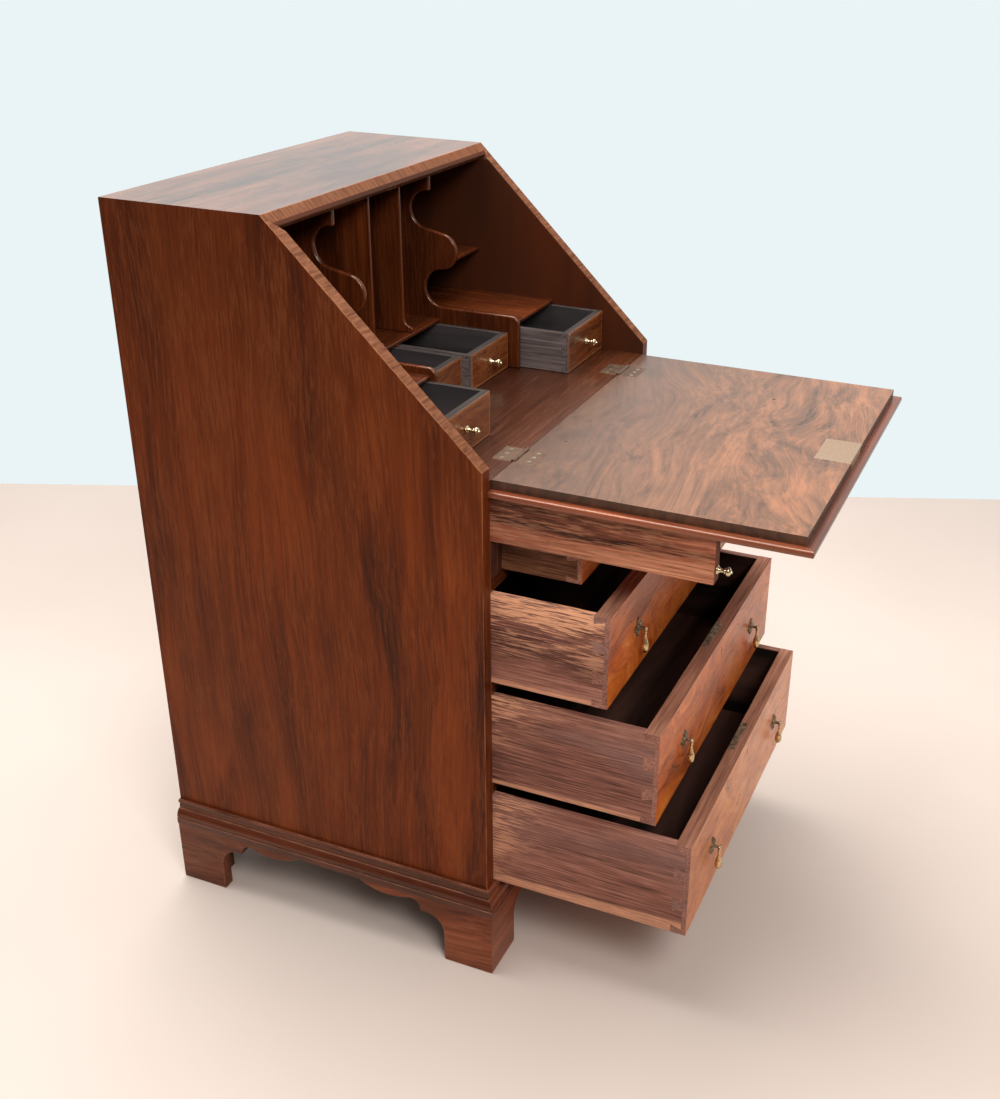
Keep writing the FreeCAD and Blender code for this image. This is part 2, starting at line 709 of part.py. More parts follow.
# The fixed writing board and the fall, with the hinges let into both.
def writing_surface():
    leaves = {1: [], -1: []}
    screws = {1: [], -1: []}
    seats = {1: [], -1: []}
    pins = []
    for place_word, x in (("left", "-hinge_place"), ("right", "hinge_place")):
        start = x + " - hinge_width / 2"
        pins.append(bar("hinge_pin_" + place_word, "pin_radius", "hinge_width", "x", start, "hinge_y", "writing_level"))
        for side, word in ((1, "case"), (-1, "fall")):
            name = "hinge_%s_%s" % (word, place_word)
            reach = "pin_radius" if side > 0 else "pin_radius + pin_clearance"
            bore = bar(name + "_bore", reach, "hinge_width", "x", start, "hinge_y", "writing_level")
            leaf = hinge_leaf(name, x, side, bore)
            own = []
            for count in (-1, 0, 1):
                spot = "%s + screw_spacing * %d" % (x, count)
                row = "hinge_y %s screw_inset" % ("+" if side > 0 else "-")
                own.append(hinge_screw("%s_screw_%d" % (name, count + 1), spot, row))
            leaves[side].append(cut(name + "_drilled", leaf, own))
            screws[side] += own
            seats[side].append(hinge_seat(name + "_seat", x, side))
    level = ("fall_under", "writing_level")
    blank = board("writing_blank", ("-inner_half", "inner_half"), ("0", "back_face"), level)
    keep("writing_board", cut("writing_board", blank, seats[1] + screws[1]))
    group("hinge_case_leaves", leaves[1])
    group("hinge_case_screws", screws[1])
    group("hinge_pins", pins)
    group("hinge_fall_leaves", leaves[-1])
    group("hinge_fall_screws", screws[-1])

    plate = board("fall_lock_plate_box", ("-lock_length / 2", "lock_length / 2"),
                  ("fall_front", "fall_front + fall_lock_depth"), ("writing_level - fall_lock_plate", "writing_level"))
    lock_low = "writing_level - fall_lock_plate - fall_lock_case_height"
    case = board("fall_lock_case", ("-fall_lock_case_length / 2", "fall_lock_case_length / 2"),
                 ("fall_front", "fall_front + fall_lock_case_depth"), (lock_low, "writing_level - fall_lock_plate"))
    slot = board("fall_bolt_slot", ("-bolt_length / 2 - bolt_clearance", "bolt_length / 2 + bolt_clearance"),
                 ("fall_front", "fall_front + bolt_depth + bolt_travel"),
                 ("bolt_top - bolt_height - bolt_clearance", "bolt_top + bolt_clearance"))
    lock = fuse("fall_lock_whole", [plate, case])
    keep("fall_lock", cut("fall_lock", lock, [slot]))
    keep("fall_lock_bolt", board("fall_lock_bolt", ("-bolt_length / 2", "bolt_length / 2"),
                                 ("fall_front", "fall_front + bolt_depth"), ("bolt_top - bolt_height", "bolt_top")))
    blank = board("fall_blank", ("-fall_half", "fall_half"), ("fall_front", "fall_back"), level)
    deep = lock_low + " - fall_under + cut_margin"
    row = "fall_front + fall_lock_case_depth / 2"
    hole = bar("fall_keyhole", "keyhole_radius", deep, "z", "0", row, "fall_under - cut_margin")
    slit = board("fall_keyhole_slot", ("-keyhole_slot_width / 2", "keyhole_slot_width / 2"),
                 (row, row + " + keyhole_slot"), ("fall_under - cut_margin", lock_low))
    keep("fall_panel", cut("fall_panel", blank, seats[-1] + screws[-1] + [lock, hole, slit]))
    section = [
        ("0", "fall_under"),
        ("lip_overhang - lip_round", "fall_under",
         ("lip_overhang - lip_round", "fall_under + lip_round", "lip_round", "left")),
        ("lip_overhang", "fall_under + lip_round"),
        ("lip_overhang", "lip_top - lip_round",
         ("lip_overhang - lip_round", "lip_top - lip_round", "lip_round", "left")),
        ("lip_overhang - lip_round", "lip_top"),
        ("0", "lip_top"),
    ]
    mouldings("fall_lip", "fall_half", "fall_front", "fall_back", "lip_overhang", "fall_under", "lip_top", section)


# A turned brass knob whose rose sits on a face looking to the front.
def knob(name, x, y, z):
    ball_start = "knob_ball_y + sqrt(knob_ball_radius ^ 2 - knob_neck_radius ^ 2)"
    outline = [
        ("0", "0"),
        ("knob_rose_radius", "0"),
        ("knob_rose_radius", "-knob_rose / 2"),
        ("knob_neck_radius", "-knob_rose"),
        ("knob_neck_radius", ball_start, ("0", "knob_ball_y", "knob_ball_radius", "right")),
        ("0", "knob_ball_y - knob_ball_radius"),
    ]
    return turned(name, outline, (x, y, z))


def lopers():
    for side, word in ((-1, "left"), (1, "right")):
        name = "loper_" + word
        span = mirrored(side, "loper_inner", "loper_outer")
        keep(name, board(name, span, ("-loper_pull", "loper_length - loper_pull"), ("loper_low", "loper_high")))
        sign = "-" if side < 0 else ""
        middle = "%s(loper_inner + loper_outer) / 2" % sign
        height = "(loper_low + loper_high) / 2 - loper_knob_drop"
        keep(name + "_knob", knob(name + "_knob", middle, "-loper_pull", height))


# A dovetailed drawer: the sides' tails are lapped by the front. Its parts are placed from the drawer's own front
# face, and stock names the sizes of the front, the sides, the bottom and the lap.
def drawer(name, span, height, face, depth, stock, tails, cutters):
    front, side, bottom, lap = stock
    left, right = span
    low, high = height
    tall = "((%s) - (%s))" % (high, low)
    outline = [(depth, low), (depth, high), (front, high)]
    for count in range(tails):
        middle = "(%s) - %s * %s / %d" % (high, tall, count + 0.5, tails)
        root = "%s * 0.26 / %d" % (tall, tails)
        end = "%s * 0.36 / %d" % (tall, tails)
        outline += [(front, "%s + %s" % (middle, root)), (lap, "%s + %s" % (middle, end)),
                    (lap, "%s - %s" % (middle, end)), (front, "%s - %s" % (middle, root))]
    outline.append((front, low))
    sides = [prism(name + "_side_left", "YZ_Plane", outline, side, (left, face, "0")),
             prism(name + "_side_right", "YZ_Plane", outline, side, ("(%s) - %s" % (right, side), face, "0"))]
    inside = ("(%s) + %s" % (left, side), "(%s) - %s" % (right, side))
    floor = "(%s) + bottom_rise" % low
    rear = "(%s) + %s" % (face, depth)
    base_board = board(name + "_bottom", inside, ("(%s) + %s" % (face, front), rear), (floor, floor + " + " + bottom))
    back_side = "%s - %s" % (rear, "drawer_back" if stock is long_stock else side)
    back = board(name + "_back", inside, (back_side, rear), (floor + " + " + bottom, "(%s) - back_drop" % high))
    group(name + "_box", sides + [back, base_board])
    blank = board(name + "_front_blank", span, (face, "(%s) + %s" % (face, front)), height)
    keep(name + "_front", cut(name + "_front", blank, sides + cutters))


long_stock = ("front_thickness", "drawer_side", "drawer_bottom", "dovetail_lap")
small_stock = ("small_front", "small_side", "small_bottom", "small_lap")


# A backplate of four lobes round a disc, its post with a cross pin, and the shank and nut behind.
def handle_plate(name, x, face, z):
    back = "(%s) - plate_thickness" % face
    pieces = [bar(name + "_disc", "plate_radius", "plate_thickness", "y", x, back, z)]
    for across, up in ((1, 0), (-1, 0), (0, 1), (0, -1)):
        pieces.append(bar(name + "_lobe", "plate_lobe_radius", "plate_thickness", "y",
                          "%s + plate_lobe_place * %d" % (x, across), back, "%s + plate_lobe_place * %d" % (z, up)))
    tip = "(%s) - drop_pivot" % face
    length = "drop_pivot + front_thickness + nut_thickness"
    pieces.append(bar(name + "_post", "post_radius", length, "y", x, tip, z))
    pieces.append(bar(name + "_cross_pin", "cross_pin_radius", "cross_pin_length", "x",
                      x + " - cross_pin_length / 2", tip, z))
    pieces.append(bar(name + "_nut", "nut_radius", "nut_thickness", "y", x, "(%s) + front_thickness" % face, z))
    return fuse(name, pieces)


# A pear-shaped drop with two ears on the cross pin; its own origin is the pin's axis.
def pear_drop(name, x, y, z):
    body = new_body(name)
    bulb = "-drop_length + drop_radius"
    profile = [
        ("0", "-drop_eye_radius"),
        ("drop_neck_radius", "-drop_eye_radius"),
        ("drop_neck_radius", "-drop_length / 2"),
        ("drop_radius", bulb, ("0", bulb, "drop_radius", "right")),
        ("0", "-drop_length"),
    ]
    sketch = draw(body, "XZ_Plane", profile)
    spin = body.newObject("PartDesign::Revolution", name + "_pear")
    spin.Profile = sketch
    spin.ReferenceAxis = (sketch, ["V_Axis"])
    spin.Angle = 360
    strap_foot = "-3 * drop_eye_radius"
    strap = [
        ("drop_eye_radius", "0", ("0", "0", "drop_eye_radius", "left")),
        ("0", "drop_eye_radius", ("0", "0", "drop_eye_radius", "left")),
        ("-drop_eye_radius", "0"),
        ("-drop_eye_radius", strap_foot),
        ("drop_eye_radius", strap_foot),
    ]
    ears = body.newObject("PartDesign::Pad", name + "_ears")
    ears.Profile = draw(body, "YZ_Plane", strap)
    ears.Midplane = True
    bind(ears, "Length", "cross_pin_length")
    wide = "2 * drop_eye_radius"
    gap = [("-drop_slot / 2", wide), ("-drop_slot / 2", "-1.4 * drop_eye_radius"),
           ("drop_slot / 2", "-1.4 * drop_eye_radius"), ("drop_slot / 2", wide)]
    slot = body.newObject("PartDesign::Pocket", name + "_slot")
    slot.Profile = draw(body, "XZ_Plane", gap)
    slot.Type = "ThroughAll"
    slot.Midplane = True
    hole = body.newObject("PartDesign::Pocket", name + "_bore")
    sketch = body.newObject("Sketcher::SketchObject", name + "_bore_sketch")
    sketch.AttachmentSupport = [(origin_plane(body, "YZ_Plane"), "")]
    sketch.MapMode = "FlatFace"
    reach = "cross_pin_radius + pin_clearance"
    circle = Part.Circle(FreeCAD.Vector(), FreeCAD.Vector(0, 0, 1), number(reach))
    ring = sketch.addGeometry(circle, False)
    sketch.addConstraint(Sketcher.Constraint("Coincident", ring, 3, -1, 1))
    limit = sketch.addConstraint(Sketcher.Constraint("Radius", ring, number(reach)))
    bind(sketch, "Constraints[%d]" % limit, reach)
    hole.Profile = sketch
    hole.Type = "ThroughAll"
    hole.Midplane = True
    place(body, x, y, z)
    return body


def long_drawers():
    for word, floor, opening, pull in (("upper", "upper_floor", "upper_opening", "upper_pull"),
                                       ("middle", "middle_floor", "middle_opening", "middle_pull"),
                                       ("lower", "base_top", "lower_opening", "lower_pull")):
        name = word + "_drawer"
        low = floor + " + drawer_bottom_gap"
        high = "%s + %s - drawer_top_gap" % (floor, opening)
        half = "(inner_half - drawer_side_gap)"
        face = "-" + pull
        inner = "(%s) + front_thickness" % face
        middle = "(%s + %s) / 2" % (low, high)
        lock = board(name + "_lock", ("-lock_length / 2", "lock_length / 2"), (inner + " - drawer_lock_depth", inner),
                     ("%s - drawer_lock_height" % high, high))
        key = high + " - keyhole_drop"
        hole = bar(name + "_keyhole", "keyhole_radius", "front_thickness / 2 + cut_margin", "y", "0",
                   "(%s) - cut_margin" % face, key)
        slit = board(name + "_keyhole_slot", ("-keyhole_slot_width / 2", "keyhole_slot_width / 2"),
                     ("(%s) - cut_margin" % face, "(%s) + front_thickness / 2" % face), (key + " - keyhole_slot", key))
        plates = []
        for side, hand in (("-", "left"), ("", "right")):
            x = side + "handle_place"
            plates.append(handle_plate("%s_plate_%s" % (name, hand), x, face, middle))
            label = "%s_drop_%s" % (word, hand)
            keep(label, pear_drop(label, x, "(%s) - drop_pivot" % face, middle))
        drawer(name, ("-" + half, half), (low, high), face, "long_drawer_depth", long_stock, 3,
               [lock, hole, slit] + plates)
        group(name + "_brasses", plates + [lock])


def other_drawers():
    half = "(guide_inner - drawer_side_gap)"
    low = "frieze_floor + drawer_bottom_gap"
    high = "writing_under - drawer_top_gap"
    drawer("frieze_drawer", ("-" + half, half), (low, high), "-frieze_pull", "frieze_drawer_depth", long_stock, 3, [])
    knobs = []
    for sign in ("-", ""):
        knobs.append(knob("frieze_knob", sign + "frieze_knob_place", "-frieze_pull", "(%s + %s) / 2" % (low, high)))
    group("frieze_drawer_knobs", knobs)
    inner = "(divider_outer + drawer_side_gap)"
    outer = "(inner_half - drawer_side_gap)"
    near = "(thin_partition / 2 + drawer_side_gap)"
    far = "(divider_inner - drawer_side_gap)"
    side_top = "side_shelf_under - drawer_top_gap"
    centre_top = "centre_shelf_under - drawer_top_gap"
    for name, side, span, top, front, pull, depth in (
            ("left_drawer", -1, (inner, outer), side_top, "side_shelf_front", "left_drawer_pull", "side_drawer_depth"),
            ("right_drawer", 1, (inner, outer), side_top, "side_shelf_front", "right_drawer_pull", "side_drawer_depth"),
            ("centre_left_drawer", -1, (near, far), centre_top, "centre_shelf_front", "centre_left_pull",
             "centre_drawer_depth"),
            ("centre_right_drawer", 1, (near, far), centre_top, "centre_shelf_front", "centre_right_pull",
             "centre_drawer_depth")):
        low = "writing_level + drawer_bottom_gap"
        face = "%s - %s" % (front, pull)
        drawer(name, mirrored(side, *span), (low, top), face, depth, small_stock, 2, [])
        sign = "-" if side < 0 else ""
        middle = "%s(%s + %s) / 2" % (sign, *span)
        keep(name + "_knob", knob(name + "_knob", middle, face, "(%s + %s) / 2" % (low, top)))


case_sides()
top_board()
case_boards()
base()
interior_fitting()
writing_surface()
lopers()
other_drawers()
long_drawers()
document.recompute()

for item in document.Objects:
    if "Invalid" in item.State or "Error" in item.State:
        raise RuntimeError("failed: %s %s" % (item.Name, item.getStatusString()))
for name, item in nodes.items():
    if item.Shape.isNull() or not item.Shape.isValid() or not item.Shape.Solids:
        raise RuntimeError("bad shape: " + name)

os.makedirs("parts", exist_ok=True)
for name, item in nodes.items():
    item.Shape.exportStep("parts/%s.step" % name)
    print("%-24s %d solids %12.1f" % (name, len(item.Shape.Solids), item.Shape.Volume))
print(len(nodes), "nodes")
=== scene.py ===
import bmesh
import bpy
import json
import math
import random
from mathutils import Matrix, Vector


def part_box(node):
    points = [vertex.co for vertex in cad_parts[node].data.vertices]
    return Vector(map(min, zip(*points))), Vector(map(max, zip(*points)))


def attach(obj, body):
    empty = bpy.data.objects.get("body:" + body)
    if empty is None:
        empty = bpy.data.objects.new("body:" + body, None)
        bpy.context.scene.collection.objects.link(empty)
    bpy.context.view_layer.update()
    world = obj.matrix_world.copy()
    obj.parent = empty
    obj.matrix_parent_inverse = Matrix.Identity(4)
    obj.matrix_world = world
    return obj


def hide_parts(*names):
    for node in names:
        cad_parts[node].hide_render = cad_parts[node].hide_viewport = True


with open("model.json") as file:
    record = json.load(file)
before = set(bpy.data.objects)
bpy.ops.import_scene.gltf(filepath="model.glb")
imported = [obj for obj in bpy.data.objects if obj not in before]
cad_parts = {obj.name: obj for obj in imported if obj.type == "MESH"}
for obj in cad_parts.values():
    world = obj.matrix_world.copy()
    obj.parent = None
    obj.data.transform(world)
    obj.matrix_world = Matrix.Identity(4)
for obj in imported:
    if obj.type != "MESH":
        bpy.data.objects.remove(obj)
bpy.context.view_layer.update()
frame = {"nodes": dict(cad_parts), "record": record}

scene = bpy.context.scene
nodes = frame["nodes"]
bodyOf = {node: body for body, members in frame["record"]["behaviour"]["bodies"].items() for node in members}
slotOf = {part["node"]: part["material_slot"] for part in frame["record"]["subparts"]}
print("frame loaded:", len(nodes), "nodes")


def tone(red, green, blue):  # screen colour, 0 to 255, to the linear values a shader takes
    values = [channel / 255 for channel in (red, green, blue)]
    return tuple(v / 12.92 if v <= 0.04045 else ((v + 0.055) / 1.055) ** 2.4 for v in values) + (1,)


def feed(tree, socket, value):
    if isinstance(value, bpy.types.NodeSocket):
        tree.links.new(value, socket)
    else:
        socket.default_value = value


def addNode(tree, kind, settings=None, inputs=None):
    node = tree.nodes.new(kind)
    for key, value in (settings or {}).items():
        setattr(node, key, value)
    for key, value in (inputs or {}).items():
        feed(tree, node.inputs[key], value)
    return node


def sums(tree, operation, first, second=0.0, clamp=False):
    settings = {"operation": operation, "use_clamp": clamp}
    return addNode(tree, "ShaderNodeMath", settings, {0: first, 1: second}).outputs[0]


def times(tree, first, second):
    return sums(tree, "MULTIPLY", first, second)


def plus(tree, first, second):
    return sums(tree, "ADD", first, second)


def minus(tree, first, second):
    return sums(tree, "SUBTRACT", first, second)


def vectors(tree, operation, first, second, output="Vector"):
    node = addNode(tree, "ShaderNodeVectorMath", {"operation": operation}, {0: first, 1: second})
    return node.outputs[output]


def stretched(tree, vector, scale):
    return addNode(tree, "ShaderNodeMapping", None, {"Vector": vector, "Scale": scale}).outputs[0]


def cloud(tree, vector, scale, detail=3.0, roughness=0.5, distortion=0.0, output="Fac"):
    inputs = {"Vector": vector, "Scale": scale, "Detail": detail, "Roughness": roughness,
              "Distortion": distortion}
    return addNode(tree, "ShaderNodeTexNoise", None, inputs).outputs[output]


def grainNoise(tree, vector, scale, detail, roughness=0.6, distortion=0.0, output="Fac"):
    return cloud(tree, stretched(tree, vector, scale), 1.0, detail, roughness, distortion, output)


def ramp(tree, factor, stops):
    node = addNode(tree, "ShaderNodeValToRGB", None, {"Fac": factor})
    elements = node.color_ramp.elements
    while len(elements) < len(stops):
        elements.new(0.5)
    for element, (place, colour) in zip(elements, stops):
        element.position = place
        element.color = colour
    return node.outputs["Color"]


def window(tree, value, low, high, top=1.0):  # 0 below low, top above high
    inputs = {"Value": value, "From Min": low, "From Max": high, "To Min": 0.0, "To Max": top}
    return addNode(tree, "ShaderNodeMapRange", None, inputs).outputs[0]


def mixed(tree, factor, first, second):
    node = addNode(tree, "ShaderNodeMix", {"data_type": "RGBA"})
    for place, value in ((0, factor), (6, first), (7, second)):  # the colour sockets of the mix node
        feed(tree, node.inputs[place], value)
    return node.outputs[2]


def attribute(tree, name, output="Fac"):
    return addNode(tree, "ShaderNodeAttribute", {"attribute_name": name}).outputs[output]


def startMaterial(name):
    material = bpy.data.materials.new(name)
    material.use_nodes = True
    tree = material.node_tree
    return material, tree, tree.nodes["Principled BSDF"]


def mottledMaterial(name, look):
    material, tree, shader = startMaterial(name)
    place = addNode(tree, "ShaderNodeTexCoord").outputs["Object"]
    spots = cloud(tree, place, look["spots"], look["detail"])
    feed(tree, shader.inputs["Base Color"], ramp(tree, spots, [(0.3, look["dark"]), (0.7, look["light"])]))
    shader.inputs["Roughness"].default_value = look["roughness"]
    return material


# Woods. Each board carries its own grain coordinates, with z along the grain, and marks: edge for rounded arrises,
# worn and with a painted highlight; an inside mark for a box's hollow, dark stain with painted shade; a cross mark
# for cross-grain strips, also painted light on the top edges of the long fronts; rim for a thin inlaid line;
# scrape and strip for worn boxes.
usualWood = {  # what most of the woods share
    "reach": 0.02, "burr": 0.0, "burrScale": 9, "swirl": 4, "smokeAndSheen": 0.5, "veins": 0.0, "pores": 0.3,
    "edgeWearAndHighlight": 0.6, "inside": tone(40, 18, 11), "crossStretch": (30, 30, 340), "roughness": 0.3, "coat": 0.0,
    "bump": 0.08, "specular": 0.5,
}
woodLooks = {
    "footWalnut": {
        "dark": tone(62, 24, 14), "middle": tone(116, 53, 26), "light": tone(156, 86, 54), "spread": 0.15,
        "streaks": 0.4, "streakScale": 260, "figure": 0.6, "figureScale": 22, "curl": 0.8, "swirl": 5,
        "wander": 0.06, "smokeSheenAndShadeTone": tone(52, 21, 12), "smokeAndSheen": 0.6, "fibres": 0.14, "edge": tone(150, 88, 60),
        "edgeWearAndHighlight": 0.7, "fade": tone(150, 90, 60), "fading": 0.25, "crossGrainAndLitLow": tone(62, 24, 14),
        "crossGrainAndLitHigh": tone(122, 58, 32), "roughness": 0.36, "coat": 0.1, "specular": 0.25,
    },
    "sideWalnut": {
        "dark": tone(52, 20, 10), "middle": tone(104, 42, 10), "light": tone(134, 60, 20), "spread": 0.14,
        "streaks": 0.35, "streakScale": 220, "figure": 0.65, "figureScale": 13, "curl": 0.7, "wander": 0.05,
        "smokeSheenAndShadeTone": tone(42, 17, 7), "smokeAndSheen": 0.55, "fibres": 0.14, "veins": 0.06, "edge": tone(158, 100, 64),
        "edgeWearAndHighlight": 0.75, "inside": tone(58, 28, 15), "fade": tone(132, 70, 36), "fading": 0.3,
        "crossGrainAndLitLow": tone(84, 48, 30), "crossGrainAndLitHigh": tone(130, 84, 58), "paintedShadeEnd": ((0, 0, 1), 0.3, 1.0, 0.45),
        "roughness": 0.4, "specular": 0.16,
    },
    "topWalnut": {
        "dark": tone(54, 27, 16), "middle": tone(110, 64, 40), "light": tone(146, 94, 64), "spread": 0.12,
        "streaks": 0.3, "streakScale": 200, "figure": 0.7, "figureScale": 12, "curl": 0.7, "wander": 0.04,
        "smokeSheenAndShadeTone": tone(58, 33, 23), "smokeAndSheen": 0.65, "fibres": 0.14, "veins": 0.1, "edge": tone(150, 98, 64),
        "edgeWearAndHighlight": 0.8, "fade": tone(140, 104, 82), "fading": 0.3, "crossGrainAndLitLow": tone(98, 56, 38),
        "crossGrainAndLitHigh": tone(130, 82, 58), "coat": 0.75,
    },
    "fallBurr": {
        "dark": tone(50, 32, 24), "middle": tone(122, 81, 57), "light": tone(174, 114, 77), "spread": 0.16,
        "streaks": 0.3, "streakScale": 150, "figure": 0.42, "figureScale": 42, "burr": 0.28, "burrScale": 12,
        "curl": 0.8, "wander": 0.28, "smokeSheenAndShadeTone": tone(74, 58, 50), "smokeAndSheen": 0.55, "fibres": 0.08,
        "veins": 0.08, "pores": 0.25, "edge": tone(150, 96, 62), "edgeWearAndHighlight": 0.7, "inside": tone(26, 18, 14),
        "fade": tone(190, 116, 72), "fading": 0.12, "crossGrainAndLitLow": tone(34, 17, 10),
        # the fall is painted darker and greyer towards its hinge: painted shade and sheen
        "crossGrainAndLitHigh": tone(82, 44, 26), "paintedShadeEnd": ((0, 1, 0), -0.3, 0.9, 0.7), "coat": 0.3, "bump": 0.07,
    },
    "frontBurr": {
        "dark": tone(78, 31, 9), "middle": tone(202, 94, 28), "light": tone(236, 144, 60), "spread": 0.15,
        "streaks": 0.28, "streakScale": 200, "figure": 0.4, "figureScale": 40, "burr": 0.32, "burrScale": 15,
        "curl": 1.0, "swirl": 9, "wander": 0.2, "smokeSheenAndShadeTone": tone(100, 38, 10), "fibres": 0.12, "veins": 0.12,
        "edge": tone(186, 124, 76), "inside": tone(24, 17, 13), "fade": tone(186, 120, 70), "fading": 0.3,
        "crossGrainAndLitLow": tone(70, 34, 16), "crossGrainAndLitHigh": tone(140, 80, 42), "bump": 0.07, "specular": 0.36,
    },
    "smallFront": {
        "dark": tone(66, 28, 12), "middle": tone(116, 58, 26), "light": tone(150, 84, 42), "spread": 0.18,
        "streaks": 0.3, "streakScale": 240, "figure": 0.4, "figureScale": 22, "burr": 0.3, "burrScale": 24,
        "curl": 1.2, "swirl": 9, "wander": 0.05, "smokeSheenAndShadeTone": tone(76, 34, 15), "fibres": 0.12, "veins": 0.15,
        "edge": tone(186, 124, 76), "edgeWearAndHighlight": 0.7, "inside": tone(24, 17, 13), "fade": tone(176, 108, 60),
        "fading": 0.25, "crossGrainAndLitLow": tone(70, 34, 16), "crossGrainAndLitHigh": tone(140, 80, 42), "roughness": 0.28,
        "coat": 0.15, "bump": 0.07,
    },
    "mouldedWalnut": {
        "dark": tone(44, 18, 11), "middle": tone(84, 34, 16), "light": tone(112, 52, 26), "spread": 0.16,
        "streaks": 0.35, "streakScale": 220, "figure": 0.65, "figureScale": 16, "curl": 0.6, "wander": 0.03,
        "smokeSheenAndShadeTone": tone(38, 16, 10), "fibres": 0.0, "pores": 0.05, "edge": tone(160, 100, 74),
        "inside": tone(40, 20, 13), "fade": tone(126, 74, 50), "fading": 0.06, "crossGrainAndLitLow": tone(44, 18, 11),
        "crossGrainAndLitHigh": tone(84, 36, 20), "roughness": 0.28, "coat": 0.1, "bump": 0.04, "specular": 0.4,
    },
    # the pigeonhole walnut is darkened in part as painted shade of the interior
    "shadedInteriorWalnut": {
        "dark": tone(38, 15, 8), "middle": tone(78, 33, 12), "light": tone(118, 55, 22), "spread": 0.17,
        "streaks": 0.4, "streakScale": 240, "figure": 0.5, "figureScale": 20, "burr": 0.1, "burrScale": 14,
        "curl": 0.9, "wander": 0.04, "smokeSheenAndShadeTone": tone(32, 13, 8), "fibres": 0.12, "veins": 0.1,
        "edge": tone(124, 58, 32), "edgeWearAndHighlight": 0.25, "fade": tone(104, 54, 29), "fading": 0.25,
        "crossGrainAndLitLow": tone(44, 18, 11), "crossGrainAndLitHigh": tone(84, 36, 20), "roughness": 0.24, "specular": 0.6,
    },
    "drawerWood": {
        "dark": tone(76, 45, 38), "middle": tone(156, 102, 86), "light": tone(200, 146, 124), "spread": 0.15,
        "streaks": 0.55, "streakScale": 480, "reach": 0.03, "figure": 0.4, "figureScale": 13, "curl": 0.4,
        # the drawer wood's greyish smoke tone is a painted sheen
        "wander": 0.012, "smokeSheenAndShadeTone": tone(140, 112, 107), "smokeAndSheen": 0.6, "fibres": 0.25, "pores": 0.6,
        "edge": tone(150, 104, 76), "inside": tone(22, 15, 12), "fade": tone(240, 174, 134), "fading": 0.1,
        # the drawer wood's cross tones paint light on the top edges of the long fronts, with some wear
        "crossGrainAndLitLow": tone(124, 82, 64), "crossGrainAndLitHigh": tone(182, 128, 102), "crossStretch": (260, 260, 12),
        "roughness": 0.55, "bump": 0.4, "specular": 0.2,
    },
    "loperWood": {
        "dark": tone(42, 16, 11), "middle": tone(178, 101, 73), "light": tone(228, 160, 122), "spread": 0.12,
        "streaks": 0.3, "streakScale": 320, "reach": 0.05, "figure": 0.7, "figureScale": 14, "curl": 0.4,
        "wander": 0.012, "smokeSheenAndShadeTone": tone(48, 22, 18), "smokeAndSheen": 0.75, "fibres": 0.4, "pores": 0.6,
        "edge": tone(138, 84, 62), "edgeWearAndHighlight": 0.5, "fade": tone(204, 142, 108), "fading": 0.15,
        "crossGrainAndLitLow": tone(54, 24, 18), "crossGrainAndLitHigh": tone(112, 62, 48), "roughness": 0.5, "bump": 0.35,
        "specular": 0.25,
    },
    "stainedWood": {
        "dark": tone(60, 52, 52), "middle": tone(102, 90, 88), "light": tone(138, 122, 116), "spread": 0.17,
        "streaks": 0.7, "streakScale": 260, "reach": 0.04, "figure": 0.3, "figureScale": 18, "curl": 0.4,
        "wander": 0.012, "smokeSheenAndShadeTone": tone(58, 51, 50), "fibres": 0.35, "pores": 0.5, "edge": tone(70, 60, 55),
        "inside": tone(42, 40, 42), "fade": tone(120, 106, 100), "fading": 0.35, "crossGrainAndLitLow": tone(24, 20, 20),
        "crossGrainAndLitHigh": tone(44, 38, 37), "crossStretch": (260, 260, 12), "roughness": 0.55, "bump": 0.3,
        "specular": 0.3,
    },
    "carcaseWood": {
        "dark": tone(78, 50, 30), "middle": tone(122, 84, 52), "light": tone(152, 112, 72), "spread": 0.17,
        "streaks": 0.55, "streakScale": 180, "figure": 0.45, "figureScale": 12, "curl": 0.5, "wander": 0.03,
        "smokeSheenAndShadeTone": tone(70, 46, 30), "smokeAndSheen": 0.6, "fibres": 0.3, "pores": 0.5, "edge": tone(150, 110, 74),
        "edgeWearAndHighlight": 0.5, "inside": tone(44, 28, 18), "fade": tone(120, 92, 66), "fading": 0.4,
        "crossGrainAndLitLow": tone(78, 50, 30), "crossGrainAndLitHigh": tone(122, 84, 52), "crossStretch": (260, 260, 12),
        "roughness": 0.7, "bump": 0.35, "specular": 0.2,
    },
}
woodLooks = {name: dict(usualWood, **look) for name, look in woodLooks.items()}
